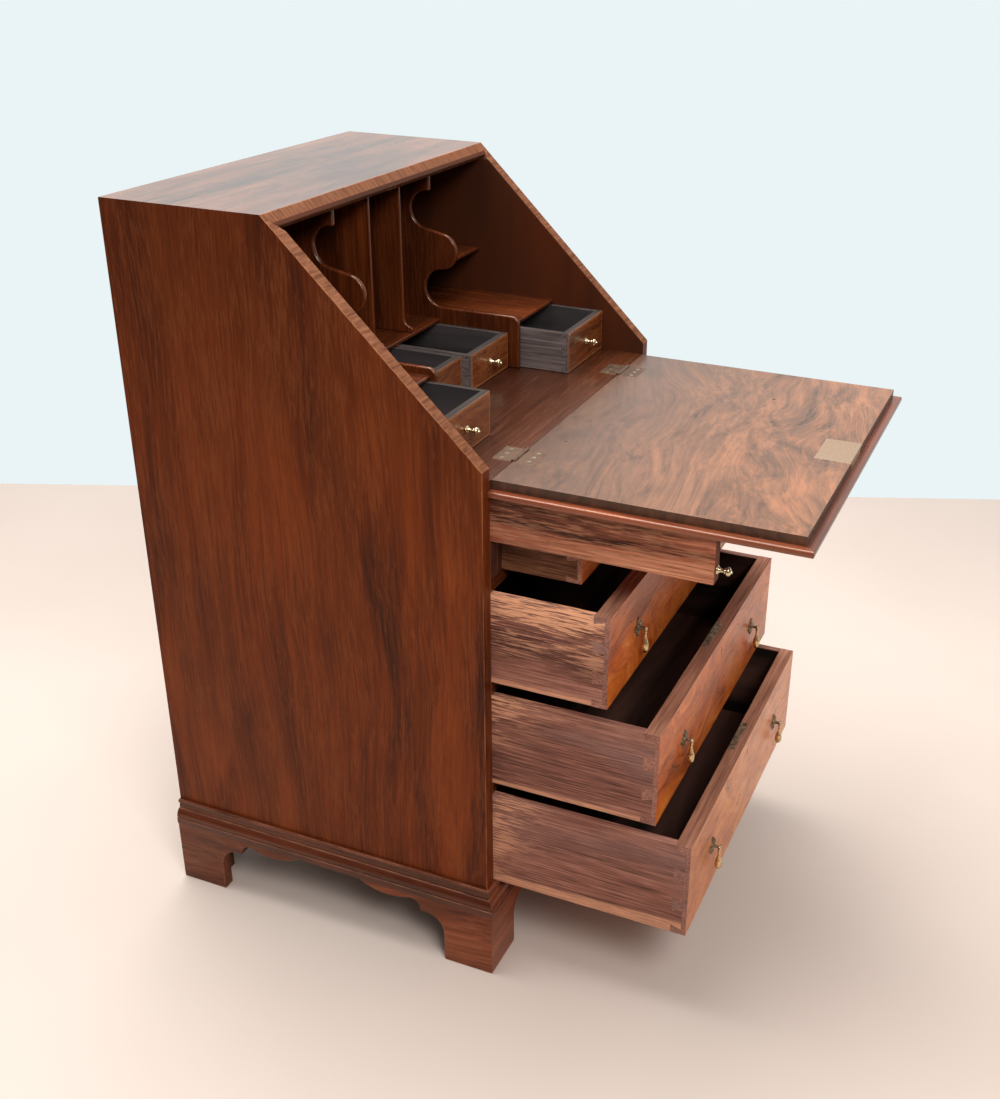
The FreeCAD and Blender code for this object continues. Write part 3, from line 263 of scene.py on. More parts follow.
kinLooks = {  # woods that differ from another in a few values
    # a lighter copy of the moulded walnut for the fall's lip: painted highlight, with more worn edges
    "lipWalnut": ("mouldedWalnut", {
        "dark": tone(52, 20, 11), "middle": tone(118, 57, 34), "light": tone(156, 86, 56),
        "edge": tone(192, 136, 106), "edgeWearAndHighlight": 0.7, "coat": 0.35, "specular": 0.5,
    }),
    "writingWalnut": ("shadedInteriorWalnut", {
        "middle": tone(72, 35, 17), "light": tone(106, 54, 27), "fading": 0.08,
        # painted shade over the writing board, lighter only near its front edge
        "paintedShadeEnd": ((0, 1, 0), -1.0, -0.5, 0.75),
    }),
    # a paler copy of the front burr for the lower drawer: painted reflection of the floor and wall
    "paleFront": ("frontBurr", {
        "dark": tone(112, 56, 26), "middle": tone(216, 122, 66), "light": tone(244, 172, 108),
    }),
    "outerBurr": ("frontBurr", {
        "dark": tone(62, 25, 9), "middle": tone(142, 66, 25), "light": tone(178, 102, 48),
    }),
    "friezeWood": ("drawerWood", {
        "dark": tone(58, 33, 23), "middle": tone(126, 80, 56), "light": tone(166, 114, 84),
        "smokeSheenAndShadeTone": tone(82, 54, 42),
    }),
}
for name, (kin, changes) in kinLooks.items():
    woodLooks[name] = dict(woodLooks[kin], **changes)

woodSizes = {  # marks per metre across the board, through it and along the grain
    "smokeAndSheen": (6, 6, 1.6), "fibre": (340, 340, 7), "patch": (38, 38, 9), "torn": (420, 420, 30),
    "pore": (1500, 1500, 55), "rub": (60, 60, 25),
}
woodLimits = {  # where a mark begins to show, and where it shows in full
    "smokeAndSheen": (0.48, 0.72), "fibre": (0.42, 0.6), "worn": (0.51, 0.57), "strip": (0.0, 0.004),
    "pore": (0.58, 0.72), "cross": (0.35, 0.65), "rub": (0.35, 0.62), "hollow": (0.38, 0.64),
}
woodShares = {  # how much of a mark goes into the wood, and its reach as a share of its size
    "figureReach": 0.12, "burrReach": 0.55, "veinScale": 1.7, "veinWidth": 0.035, "paintedShadeRagged": 1.5,
    "torn": 0.6, "scrape": 0.09, "strip": 0.9, "cross": 0.85, "hollow": 0.32,
}
woodGloss = {  # what a mark adds to the roughness, and the roughness of the varnish
    "start": -0.1, "streak": 0.2, "worn": 0.2, "inside": 0.25, "cross": 0.35, "coat": 0.2,
}
woodRelief = {"pore": 0.6, "worn": 0.8, "depth": 0.0006}  # how deep marks lie beside the streaks; depth in metres
varnishTone = (1.0, 0.8, 0.62, 1)  # warm gloss of old varnish


def woodFlow(tree, look, grain):  # grain coordinates that wander a little
    swirl = look["swirl"]
    drift = grainNoise(tree, grain, (swirl, swirl, swirl / 2), 2.0, 0.5, output="Color")
    drift = vectors(tree, "SUBTRACT", drift, (0.5, 0.5, 0.5))
    inputs = {0: drift, "Scale": look["wander"]}
    drift = addNode(tree, "ShaderNodeVectorMath", {"operation": "SCALE"}, inputs).outputs[0]
    return vectors(tree, "ADD", grain, drift)


def woodFigure(tree, look, flow):  # streaks, broad figure and burr, smoky in places; in the drawer wood a greyish haze of painted sheen
    fine, broad, knotty = look["streakScale"], look["figureScale"], look["burrScale"]
    curl, spread = look["curl"], look["spread"]
    streak = grainNoise(tree, flow, (fine, fine, fine * look["reach"]), 6.0)
    figure = grainNoise(tree, flow, (broad, broad, broad * woodShares["figureReach"]), 4.0, 0.55, curl)
    burr = grainNoise(tree, flow, (knotty, knotty, knotty * woodShares["burrReach"]), 7.0, 0.55, curl)
    shade = times(tree, streak, look["streaks"])
    shade = plus(tree, shade, times(tree, figure, look["figure"]))
    shade = plus(tree, shade, times(tree, burr, look["burr"]))
    stops = [(0.5 - spread, look["dark"]), (0.5, look["middle"]), (0.5 + spread, look["light"])]
    smokeAndSheen = grainNoise(tree, flow, woodSizes["smokeAndSheen"], 3.0, 0.5, 0.6)
    smokeAndSheen = window(tree, smokeAndSheen, *woodLimits["smokeAndSheen"], look["smokeAndSheen"])
    return mixed(tree, smokeAndSheen, ramp(tree, shade, stops), look["smokeSheenAndShadeTone"]), streak, figure


def paintedShadeOver(tree, look, colour, figure):  # painted shade: darker towards one end of the board, and greyer towards the hinge on the fall as painted sheen
    way, low, high, amount = look["paintedShadeEnd"]
    share = vectors(tree, "DIVIDE", attribute(tree, "panel", "Vector"), attribute(tree, "panelHalf", "Vector"))
    share = vectors(tree, "DOT_PRODUCT", share, way, "Value")
    share = plus(tree, share, times(tree, minus(tree, figure, 0.5), woodShares["paintedShadeRagged"]))
    return mixed(tree, window(tree, share, low, high, amount), colour, look["smokeSheenAndShadeTone"])


def linesOver(tree, look, colour, flow):  # fibres, and the veins of a burr
    fibre = grainNoise(tree, flow, woodSizes["fibre"], 3.0)
    colour = mixed(tree, window(tree, fibre, *woodLimits["fibre"], look["fibres"]), colour, look["dark"])
    along = look["burrScale"]
    across = along * woodShares["veinScale"]
    level = minus(tree, grainNoise(tree, flow, (across, across, along), 2.0, 0.5, look["curl"]), 0.5)
    level = sums(tree, "ABSOLUTE", level)
    vein = minus(tree, look["veins"], window(tree, level, 0.0, woodShares["veinWidth"], look["veins"]))
    return mixed(tree, vein, colour, look["dark"])


def wearOver(tree, look, colour, grain, flow):  # faded patches, torn grain and pale strips
    patch = grainNoise(tree, grain, woodSizes["patch"], 4.0)
    torn = grainNoise(tree, flow, woodSizes["torn"], 3.0)
    tornShare = woodShares["torn"]
    patch = plus(tree, times(tree, patch, 1 - tornShare), times(tree, torn, tornShare))
    scrape = attribute(tree, "scrape")
    patch = plus(tree, patch, times(tree, scrape, woodShares["scrape"]))
    worn = sums(tree, "MAXIMUM", 0.0, plus(tree, look["fading"], scrape))
    worn = sums(tree, "MULTIPLY", window(tree, patch, *woodLimits["worn"]), worn, True)
    colour = mixed(tree, worn, colour, look["fade"])
    strip = window(tree, attribute(tree, "strip"), *woodLimits["strip"], woodShares["strip"])
    return mixed(tree, times(tree, strip, torn), colour, look["fade"]), worn


def marksOver(tree, look, colour, grain, figure):  # cross-grain strips, also painted light on front tops; worn arrises with a painted highlight; inlaid lines; hollows with painted shade
    across = grainNoise(tree, grain, look["crossStretch"], 4.0)
    stops = list(zip(woodLimits["cross"], (look["crossGrainAndLitLow"], look["crossGrainAndLitHigh"])))
    cross = times(tree, attribute(tree, "cross"), woodShares["cross"])
    colour = mixed(tree, cross, colour, ramp(tree, across, stops))
    # rounded arrises rubbed lighter: wear and a painted highlight
    rubbedAndLit = grainNoise(tree, grain, woodSizes["rub"], 4.0)
    rubbedAndLit = window(tree, rubbedAndLit, *woodLimits["rub"], look["edgeWearAndHighlight"])
    colour = mixed(tree, times(tree, attribute(tree, "edge"), rubbedAndLit), colour, look["edge"])
    colour = mixed(tree, rimLine(tree), colour, look["edge"])
    haze = window(tree, figure, *woodLimits["hollow"], woodShares["hollow"])
    hollow = mixed(tree, haze, look["inside"], look["middle"])
    return mixed(tree, attribute(tree, "inside"), colour, hollow)


def woodMaterial(name):
    look = woodLooks[name]
    material, tree, shader = startMaterial(name)
    grain = attribute(tree, "grain", "Vector")
    flow = woodFlow(tree, look, grain)
    colour, streak, figure = woodFigure(tree, look, flow)
    if "paintedShadeEnd" in look:
        colour = paintedShadeOver(tree, look, colour, figure)
    colour = linesOver(tree, look, colour, flow)
    colour, worn = wearOver(tree, look, colour, grain, flow)
    pore = window(tree, grainNoise(tree, flow, woodSizes["pore"], 2.0, 0.5), *woodLimits["pore"])
    colour = mixed(tree, times(tree, pore, look["pores"]), colour, look["dark"])
    feed(tree, shader.inputs["Base Color"], marksOver(tree, look, colour, grain, figure))
    gloss = look["roughness"] + woodGloss["start"]
    duller = {"streak": streak, "worn": worn}
    duller.update({mark: attribute(tree, mark) for mark in ("inside", "cross")})
    for mark, amount in duller.items():
        gloss = plus(tree, gloss, times(tree, amount, woodGloss[mark]))
    feed(tree, shader.inputs["Roughness"], gloss)
    height = minus(tree, streak, times(tree, pore, woodRelief["pore"]))
    height = minus(tree, height, times(tree, worn, woodRelief["worn"]))
    relief = {"Strength": look["bump"], "Distance": woodRelief["depth"], "Height": height}
    feed(tree, shader.inputs["Normal"], addNode(tree, "ShaderNodeBump", None, relief).outputs[0])
    shader.inputs["Specular IOR Level"].default_value = look["specular"]
    shader.inputs["Specular Tint"].default_value = varnishTone
    shader.inputs["Coat Weight"].default_value = look["coat"]
    shader.inputs["Coat Roughness"].default_value = woodGloss["coat"]
    return material


rimThickness = 1.35  # outer edge of the inlaid line, as a share of its inset


def rimLine(tree):  # a thin line parallel to the edges of a face that carries the rim mark
    panel = attribute(tree, "panel", "Vector")
    place = addNode(tree, "ShaderNodeVectorMath", {"operation": "ABSOLUTE"}, {0: panel}).outputs[0]
    room = vectors(tree, "SUBTRACT", attribute(tree, "panelHalf", "Vector"), place)
    room = addNode(tree, "ShaderNodeSeparateXYZ", None, {0: room}).outputs
    nearest = sums(tree, "MINIMUM", room[0], sums(tree, "MINIMUM", room[1], room[2]))
    inset = attribute(tree, "rim")
    past = sums(tree, "GREATER_THAN", nearest, inset)
    short = sums(tree, "LESS_THAN", nearest, times(tree, inset, rimThickness))
    marked = sums(tree, "GREATER_THAN", inset, 0.0001)
    return times(tree, times(tree, past, short), marked)


metalLooks = {
    "brightBrass": {"metal": tone(220, 204, 168), "tarnish": tone(146, 118, 76), "low": 0.5, "high": 0.8,
                    "roughness": 0.18, "spots": 320.0},
    "antiqueBrass": {"metal": tone(216, 190, 144), "tarnish": tone(148, 118, 76), "low": 0.48, "high": 0.75,
                     "roughness": 0.22, "spots": 260.0},
    "agedBrass": {"metal": tone(190, 162, 138), "tarnish": tone(156, 126, 102), "low": 0.4, "high": 0.75,
                  "roughness": 0.4, "spots": 240.0},
    "hingeBrass": {"metal": tone(140, 112, 92), "tarnish": tone(104, 79, 64), "low": 0.4, "high": 0.7,
                   "roughness": 0.3, "spots": 70.0},
    "screwBrass": {"metal": tone(214, 198, 178), "tarnish": tone(160, 138, 116), "low": 0.5, "high": 0.8,
                   "roughness": 0.24, "spots": 320.0},
    "bronzePlate": {"metal": tone(168, 150, 124), "tarnish": tone(96, 82, 62), "low": 0.35, "high": 0.65,
                    "roughness": 0.3, "spots": 150.0},
}
metalWear = {"scratches": (200, 2600, 900), "dull": 0.25, "scratch": 0.08, "relief": 0.12, "depth": 0.0002}


def metalMaterial(name):
    look = metalLooks[name]
    material, tree, shader = startMaterial(name)
    place = addNode(tree, "ShaderNodeTexCoord").outputs["Object"]
    stain = cloud(tree, place, look["spots"], 5.0, 0.6, 0.4)
    scratch = grainNoise(tree, place, metalWear["scratches"], 3.0, 0.5)
    dull = window(tree, stain, look["low"], look["high"])
    feed(tree, shader.inputs["Base Color"], mixed(tree, dull, look["metal"], look["tarnish"]))
    gloss = plus(tree, look["roughness"], times(tree, dull, metalWear["dull"]))
    feed(tree, shader.inputs["Roughness"], plus(tree, gloss, times(tree, scratch, metalWear["scratch"])))
    relief = {"Strength": metalWear["relief"], "Distance": metalWear["depth"], "Height": scratch}
    feed(tree, shader.inputs["Normal"], addNode(tree, "ShaderNodeBump", None, relief).outputs[0])
    shader.inputs["Metallic"].default_value = 1.0
    return material


waxLook = {"dark": tone(26, 16, 12), "light": tone(58, 38, 28), "spots": 900.0, "detail": 4.0, "roughness": 0.6}
materials = {name: woodMaterial(name) for name in woodLooks}
materials.update({name: metalMaterial(name) for name in metalLooks})
materials["darkWax"] = mottledMaterial("darkWax", waxLook)
print("finishes made:", len(materials))

longDrawers = ("upper", "middle", "lower")
smallDrawers = ("left", "right", "centre_left", "centre_right")
finishOfSlot = {
    "case_walnut": "sideWalnut", "burr_walnut": "frontBurr", "moulded_walnut": "mouldedWalnut",
    "interior_walnut": "shadedInteriorWalnut", "drawer_wood": "drawerWood", "stained_wood": "stainedWood",
    "carcase_wood": "carcaseWood", "brass": "brightBrass", "aged_brass": "agedBrass",
    "gilt_brass": "antiqueBrass",
}
finishOfNode = {
    "loper_left": "loperWood", "loper_right": "loperWood", "loper_guides": "shadedInteriorWalnut",
    "hinge_case_leaves": "hingeBrass", "hinge_fall_leaves": "hingeBrass", "top_board": "topWalnut",
    "writing_board": "writingWalnut", "bracket_feet": "footWalnut", "base_moulding": "mouldedWalnut",
    "fall_panel": "fallBurr", "fall_lip": "lipWalnut", "lower_drawer_front": "paleFront",
    "frieze_drawer_box": "friezeWood",
}
finishOfNode.update({drawer + "_drawer_brasses": "bronzePlate" for drawer in longDrawers})
finishOfNode.update({drawer + "_drawer_front": "smallFront" for drawer in smallDrawers})
secondFinish = {"top_board": "sideWalnut", "fall_panel": "outerBurr"}  # the top's slant, the fall's outer face
grainAxis = {"divider_left": 2, "divider_right": 2, "thin_partitions": 2, "fall_panel": 0}
grainTurn = {"fall_panel": -12}  # degrees that the figure leans in the plane of the board
grainSpread = 9  # how far apart boards lie in the noise
arris = {  # how far the corners are rounded, in metres
    "usual": 0.0009, "back_boards": 0.0024, "bracket_feet": 0.0014, "divider_left": 0.0026,
    "divider_right": 0.0026, "thin_partitions": 0.0016, "interior_shelves": 0.0018,
    "hinge_case_leaves": 0.0003, "hinge_fall_leaves": 0.0003, "hinge_pins": 0.0002, "fall_lock": 0.0003,
    "fall_lock_bolt": 0.0004,
}
arris.update({drawer + "_drawer_brasses": 0.0004 for drawer in longDrawers})
arrisAngles = {  # degrees between two faces: one plane below flat, an arris from keen to mitre
    "flat": 0.6, "keen": 32, "mitre": 100, "shading": 50,
}
scraped = {  # wear at the foot, at the top, and how much it grows towards the back; on the fall, lighter towards the front as wear and painted sheen
    "upper_drawer_box": (-0.3, 0.9, 0.0), "middle_drawer_box": (-1.6, -0.7, 2.9),
    "lower_drawer_box": (-1.7, -1.4, 3.5), "loper_left": (0.1, 0.25, 0.0), "loper_right": (0.1, 0.25, 0.0),
    "writing_board": (0.05, 0.05, -0.3), "fall_panel": (0.1, 0.1, -0.2),
}
rawShare = 0.48  # how much of the top board's slant is bare wood, painted dark also as shade
stripHeight = 0.009  # pale worn strip along the foot of the long drawers
stripGrowth = {"lower_drawer_box": 0.012}  # how much higher the strip is at the drawer's front
lineInset = 0.0022  # the light line inside the edge of the small drawer fronts
noRim = 9.0  # half a board's thickness counts as this, so that its thin way has no rim
leans = {"slant": 0.3, "front": 0.6, "square": 0.9, "top": 0.5}  # how far the normal of such a face leans that way
hollowDepth = 0.002  # a face inside a drawer looks at the drawer's centre, at least this far away
innerDepth = 0.1  # the inner face of a side looks at the middle of the desk, at least this far away
faceMarks = ("edge", "inside", "cross", "rim")
caseSides = ("side_left", "side_right")


def gatherSolids(name):  # a node's loose triangles, joined into one closed shell for each of its boards
    data = nodes[name].data
    mesh = bmesh.new()
    corners, loose = {}, set()
    for triangle in data.polygons:
        spots = [tuple(round(place, 6) for place in data.vertices[index].co) for index in triangle.vertices]
        if len(set(spots)) < 3:
            continue
        for spot in spots:
            if spot not in corners:
                corners[spot] = mesh.verts.new(spot)
        mesh.faces.new([corners[spot] for spot in spots])
        for start, end in zip(spots, spots[1:] + spots[:1]):
            if (end, start) in loose:
                loose.remove((end, start))
            else:
                loose.add((start, end))
        if not loose:  # the shell is closed, so the next triangle starts another board
            corners = {}
    mesh.normal_update()
    return mesh


def islands(mesh):  # the separate boards of one node, as lists of faces
    left = set(mesh.faces)
    found = []
    while left:
        stack = [left.pop()]
        members = []
        while stack:
            face = stack.pop()
            members.append(face)
            for vert in face.verts:
                for other in vert.link_faces:
                    if other in left:
                        left.remove(other)
                        stack.append(other)
        found.append(members)
    return sorted(found, key=lowestCentre)


def lowestCentre(members):
    return tuple(round(place, 5) for place in min(tuple(face.calc_center_median()) for face in members))


def drawerCentre(name):
    members = [node for node in nodes if bodyOf[node] == bodyOf[name] and node.endswith(("_box", "_front"))]
    corners = [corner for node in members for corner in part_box(node)]
    return sum(corners, Vector()) / len(corners)


def slanted(name, face):
    lean = leans["slant"]
    return name in caseSides + ("top_board",) and face.normal.y < -lean and face.normal.z > lean


# Marks on the faces, read by the woods. Faces with material 1 have the piece's second finish.
def markFaces(mesh, name, layers, rawLine):
    isFront = name.endswith("drawer_front")
    isSmall = finishOfNode.get(name) == "smallFront"
    edge, inside, cross, rim = (layers[mark] for mark in faceMarks)
    # a box's hollow faces are marked dark: stain and painted shade
    if isFront or name.endswith("_box"):
        centre = drawerCentre(name)
        for face in mesh.faces:
            if face.normal.dot(centre - face.calc_center_median()) > hollowDepth and not face[edge]:
                face[inside] = 1.0
    for face in mesh.faces:
        normal, middle = face.normal, face.calc_center_median()
        if isFront and normal.y > -leans["front"]:
            face.material_index = 1  # only the face of a front is veneered
            # painted light: the top edges of the long fronts are lighter, partly wear
            face[cross] = 1.0 if normal.z > leans["top"] else 0.0
        if name.startswith("loper_") and normal.y < -leans["front"]:
            face[cross] = 1.0
        if isSmall and normal.y < -leans["square"]:
            face[rim] = lineInset
        # the inner faces of the case sides are dark: stain and painted shade
        if name in caseSides and normal.x * middle.x < -innerDepth:
            face[inside] = 1.0
        if slanted(name, face):
            face.material_index = 1 if name == "top_board" else 0
            # the bare foot of the top's slant is dark: bare wood and painted shade
            bare = name == "top_board" and middle.z < rawLine
            face[inside if bare else cross] = 1.0
        if name == "fall_panel" and normal.z < -leans["slant"]:
            face.material_index = 1
        if name == "fall_panel" and abs(normal.z) < leans["slant"]:
            face[cross] = 1.0
        atJoint = {"fall_panel": normal.y, "writing_board": -normal.y}.get(name, 0)
        if atJoint > leans["slant"]:  # the dark line between the writing board and the fall
            face[edge] = 0.0
            face[cross] = 1.0
        if (isSmall or slotOf[name] == "stained_wood") and normal.z > leans["top"]:
            face[cross] = 1.0  # dark top rims of the small drawers


def markPoints(mesh, name, seed):
    low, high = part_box(name)
    middle = (low + high) / 2
    half = (high - low) / 2
    half[list(half).index(min(half))] = noRim
    grainLayer = mesh.verts.layers.float_vector.new("grain")
    panelLayer = mesh.verts.layers.float_vector.new("panel")
    halfLayer = mesh.verts.layers.float_vector.new("panelHalf")
    scrapeLayer = mesh.verts.layers.float.new("scrape")
    stripLayer = mesh.verts.layers.float.new("strip")
    draw = random.Random(seed)
    lean = Matrix.Rotation(math.radians(grainTurn.get(name, 0)), 3, "Z")
    boards = islands(mesh)
    boardCount[name] = len(boards)
    for members in boards:
        spots = [vert.co for face in members for vert in face.verts]
        size = [max(s[axis] for s in spots) - min(s[axis] for s in spots) for axis in range(3)]
        along = grainAxis.get(name, size.index(max(size)))
        others = [axis for axis in range(3) if axis != along]
        shift = Vector([draw.uniform(0, grainSpread) for axis in range(3)])
        for vert in {vert for face in members for vert in face.verts}:
            spot = lean @ vert.co
            vert[grainLayer] = Vector((spot[others[0]], spot[others[1]], spot[along])) + shift
            vert[panelLayer] = vert.co - middle
            vert[halfLayer] = half
            rise = (vert.co.z - low.z) / (high.z - low.z)
            back = (vert.co.y - low.y) / (high.y - low.y)
            foot, top, growth = scraped.get(name, (0.0, 0.0, 0.0))
            vert[scrapeLayer] = foot + (top - foot) * rise + growth * back
            if name in scraped and name.endswith("_box"):
                stripTop = stripHeight + stripGrowth.get(name, 0.0) * (1 - back)
                vert[stripLayer] = stripTop - (vert.co.z - low.z)


def bareLine(mesh, name):  # cuts the top board where the veneer of its slant ends, above the bare foot, which is painted dark as bare wood and as shade
    slant = [vert.co.z for face in mesh.faces if slanted(name, face) for vert in face.verts]
    line = min(slant) + rawShare * (max(slant) - min(slant))
    everything = list(mesh.verts) + list(mesh.edges) + list(mesh.faces)
    bmesh.ops.bisect_plane(mesh, geom=everything, dist=1e-6, plane_co=(0, 0, line), plane_no=(0, 0, 1))
    return line


def roundArrises(mesh, name, edgeLayer):
    keen, mitre = math.radians(arrisAngles["keen"]), math.radians(arrisAngles["mitre"])
    sharp = [edge for edge in mesh.edges if len(edge.link_faces) == 2 and keen < edge.calc_face_angle(0) < mitre]
    made = bmesh.ops.bevel(mesh, geom=sharp, offset=arris.get(name, arris["usual"]), segments=2, profile=0.5,
                           affect="EDGES", clamp_overlap=True)
    for face in made["faces"]:
        face[edgeLayer] = 1.0
    low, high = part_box(name)
    for vert in mesh.verts:  # rounding never leaves the piece's own box
        vert.co = [min(max(place, least), most) for place, least, most in zip(vert.co, low, high)]


def dressNode(name, seed):
    mesh = gatherSolids(name)
    flat = math.radians(arrisAngles["flat"])
    bmesh.ops.dissolve_limit(mesh, angle_limit=flat, verts=mesh.verts, edges=mesh.edges)
    rawLine = bareLine(mesh, name) if name == "top_board" else None
    layers = {mark: mesh.faces.layers.float.new(mark) for mark in faceMarks}
    roundArrises(mesh, name, layers["edge"])
    finish = finishOfNode.get(name, finishOfSlot[slotOf[name]])
    if finish in woodLooks:
        markFaces(mesh, name, layers, rawLine)
        markPoints(mesh, name, seed)
    data = bpy.data.meshes.new(name + "_dressed")
    mesh.to_mesh(data)
    mesh.free()
    data.shade_smooth()
    data.set_sharp_from_angle(angle=math.radians(arrisAngles["shading"]))
    piece = bpy.data.objects.new(name + "_dressed", data)
    scene.collection.objects.link(piece)
    weighted = piece.modifiers.new("faceNormals", "WEIGHTED_NORMAL")
    weighted.keep_sharp = True
    data.materials.append(materials[finish])
    if name.endswith("drawer_front"):
        data.materials.append(materials["stainedWood" if finish == "smallFront" else "drawerWood"])
    if name in secondFinish:
        data.materials.append(materials[secondFinish[name]])
    settle(piece)
    claim(piece, bodyOf[name], slotOf[name], name)


def settle(piece):  # modifiers become plain mesh
    evaluated = piece.evaluated_get(bpy.context.evaluated_depsgraph_get())
    solid = bpy.data.meshes.new_from_object(evaluated)
    piece.modifiers.clear()
    piece.data = solid


def claim(piece, body, slot, *standsFor):
    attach(piece, body)
    if standsFor:
        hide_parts(*standsFor)


turnedNodes = {  # turned brass pieces made below, by their profile
    "knob": [name for name in nodes if name.endswith(("_knob", "_knobs"))],
    "drop": [name for name in nodes if "_drop_" in name],
    "screw": ["hinge_case_screws", "hinge_fall_screws"],
}
boardCount = {}
madeElsewhere = {name for names in turnedNodes.values() for name in names}
for seed, name in enumerate(sorted(nodes)):
    if name not in madeElsewhere:
        dressNode(name, seed)
print("boards dressed:", sum(boardCount.values()))


# Geometry Nodes: a group with named inputs, used on a mesh of points.
def startTree(name, inputs):
    tree = bpy.data.node_groups.new(name, "GeometryNodeTree")
    tree.interface.new_socket(name="Geometry", in_out="INPUT", socket_type="NodeSocketGeometry")
    kinds = {float: "NodeSocketFloat", int: "NodeSocketInt", tuple: "NodeSocketVector"}
    for label, value in inputs.items():
        socket = tree.interface.new_socket(name=label, in_out="INPUT", socket_type=kinds[type(value)])
        socket.default_value = value
    tree.interface.new_socket(name="Material", in_out="INPUT", socket_type="NodeSocketMaterial")
    tree.interface.new_socket(name="Geometry", in_out="OUTPUT", socket_type="NodeSocketGeometry")
    return tree, addNode(tree, "NodeGroupInput").outputs


def endTree(tree, given, shape, rotation):
    inputs = {"Points": given["Geometry"], "Instance": shape, "Rotation": rotation}
    instances = addNode(tree, "GeometryNodeInstanceOnPoints", None, inputs).outputs[0]
    real = addNode(tree, "GeometryNodeRealizeInstances", None, {0: instances}).outputs[0]
    inputs = {"Geometry": real, "Material": given["Material"]}
    coloured = addNode(tree, "GeometryNodeSetMaterial", None, inputs).outputs[0]
    feed(tree, addNode(tree, "NodeGroupOutput").inputs[0], coloured)
    return tree


# A piece turned about the y axis: the profile gives the radius along its length.
def turnedTree(name, profile):
    tree, given = startTree(name, {
        "Length": 0.02, "Radius": 0.005, "Steps": 40, "Sides": 25, "Tilt": (0.0, 0.0, 0.0)})
    inputs = {"Size X": 1.0, "Size Y": 1.0, "Vertices X": given["Steps"], "Vertices Y": given["Sides"]}
    grid = addNode(tree, "GeometryNodeMeshGrid", None, inputs).outputs[0]
    position = addNode(tree, "GeometryNodeInputPosition").outputs[0]
    place = addNode(tree, "ShaderNodeSeparateXYZ", None, {0: position}).outputs
    along = plus(tree, place[0], 0.5)
    angle = times(tree, place[1], 2 * math.pi)
    curve = addNode(tree, "ShaderNodeFloatCurve", None, {"Value": along})
    points = curve.mapping.curves[0].points
    for spot in profile[1:-1]:
        points.new(spot[0], spot[1])
    for point, spot in zip(points, profile):
        point.location = spot[:2]
        point.handle_type = "VECTOR" if len(spot) > 2 else "AUTO_CLAMPED"
    curve.mapping.update()
    radius = times(tree, curve.outputs[0], given["Radius"])
    spot = addNode(tree, "ShaderNodeCombineXYZ", None, {
        0: times(tree, radius, sums(tree, "COSINE", angle)),
        1: times(tree, along, times(tree, given["Length"], -1.0)),
        2: times(tree, radius, sums(tree, "SINE", angle)),
    }).outputs[0]
    shape = addNode(tree, "GeometryNodeSetPosition", None, {"Geometry": grid, "Position": spot}).outputs[0]
    shape = addNode(tree, "GeometryNodeMergeByDistance", None, {"Geometry": shape, "Distance": 1e-5}).outputs[0]
    shape = addNode(tree, "GeometryNodeSetShadeSmooth", None, {"Geometry": shape}).outputs[0]
    return endTree(tree, given, shape, given["Tilt"])


# A slotted screw head, each turned by chance.
def screwTree(name):
    tree, given = startTree(name, {"Radius": 0.0028, "Depth": 0.001, "Slot": 0.0006, "Seed": 3,
                                   "Lowest": (0.0, 0.0, 0.0), "Highest": (0.0, 0.0, 6.28)})
    inputs = {"Vertices": 20, "Radius": given["Radius"], "Depth": given["Depth"]}
    head = addNode(tree, "GeometryNodeMeshCylinder", None, inputs).outputs[0]
    size = addNode(tree, "ShaderNodeCombineXYZ", None, {  # the blade is longer than the head is wide
        0: times(tree, given["Radius"], 3.0), 1: given["Slot"], 2: given["Depth"]}).outputs[0]
    blade = addNode(tree, "GeometryNodeMeshCube", None, {"Size": size}).outputs[0]
    lift = addNode(tree, "ShaderNodeCombineXYZ", None, {2: times(tree, given["Depth"], 0.6)}).outputs[0]
    blade = addNode(tree, "GeometryNodeTransform", None, {"Geometry": blade, "Translation": lift}).outputs[0]
    slotted = addNode(tree, "GeometryNodeMeshBoolean", {"operation": "DIFFERENCE"})
    feed(tree, slotted.inputs[0], head)
    feed(tree, slotted.inputs[1], blade)
    turn = addNode(tree, "FunctionNodeRandomValue", {"data_type": "FLOAT_VECTOR"})
    feed(tree, turn.inputs[0], given["Lowest"])
    feed(tree, turn.inputs[1], given["Highest"])
    feed(tree, turn.inputs["Seed"], given["Seed"])
    return endTree(tree, given, slotted.outputs[0], turn.outputs[0])


def grow(name, tree, spots, values, material, body, slot, *standsFor, turn=None):
    data = bpy.data.meshes.new(name)
    data.from_pydata([tuple(spot) for spot in spots], [], [])
    piece = bpy.data.objects.new(name, data)
    scene.collection.objects.link(piece)
    modifier = piece.modifiers.new("grow", "NODES")
    modifier.node_group = tree
    given = dict(values, Material=material)
    for item in tree.interface.items_tree:
        if item.item_type == "SOCKET" and item.in_out == "INPUT" and item.name in given:
            modifier[item.identifier] = given[item.name]
    settle(piece)
    if turn:
        piece.data.transform(turn)
    claim(piece, body, slot, *standsFor)


def solidBoxes(name):  # the lowest and highest corner of each separate solid of a node
    mesh = gatherSolids(name)
    boxes = []
    for members in islands(mesh):
        spots = [vert.co for face in members for vert in face.verts]
        low = Vector([min(spot[axis] for spot in spots) for axis in range(3)])
        high = Vector([max(spot[axis] for spot in spots) for axis in range(3)])
        boxes.append((low, high))
    mesh.free()
    return boxes


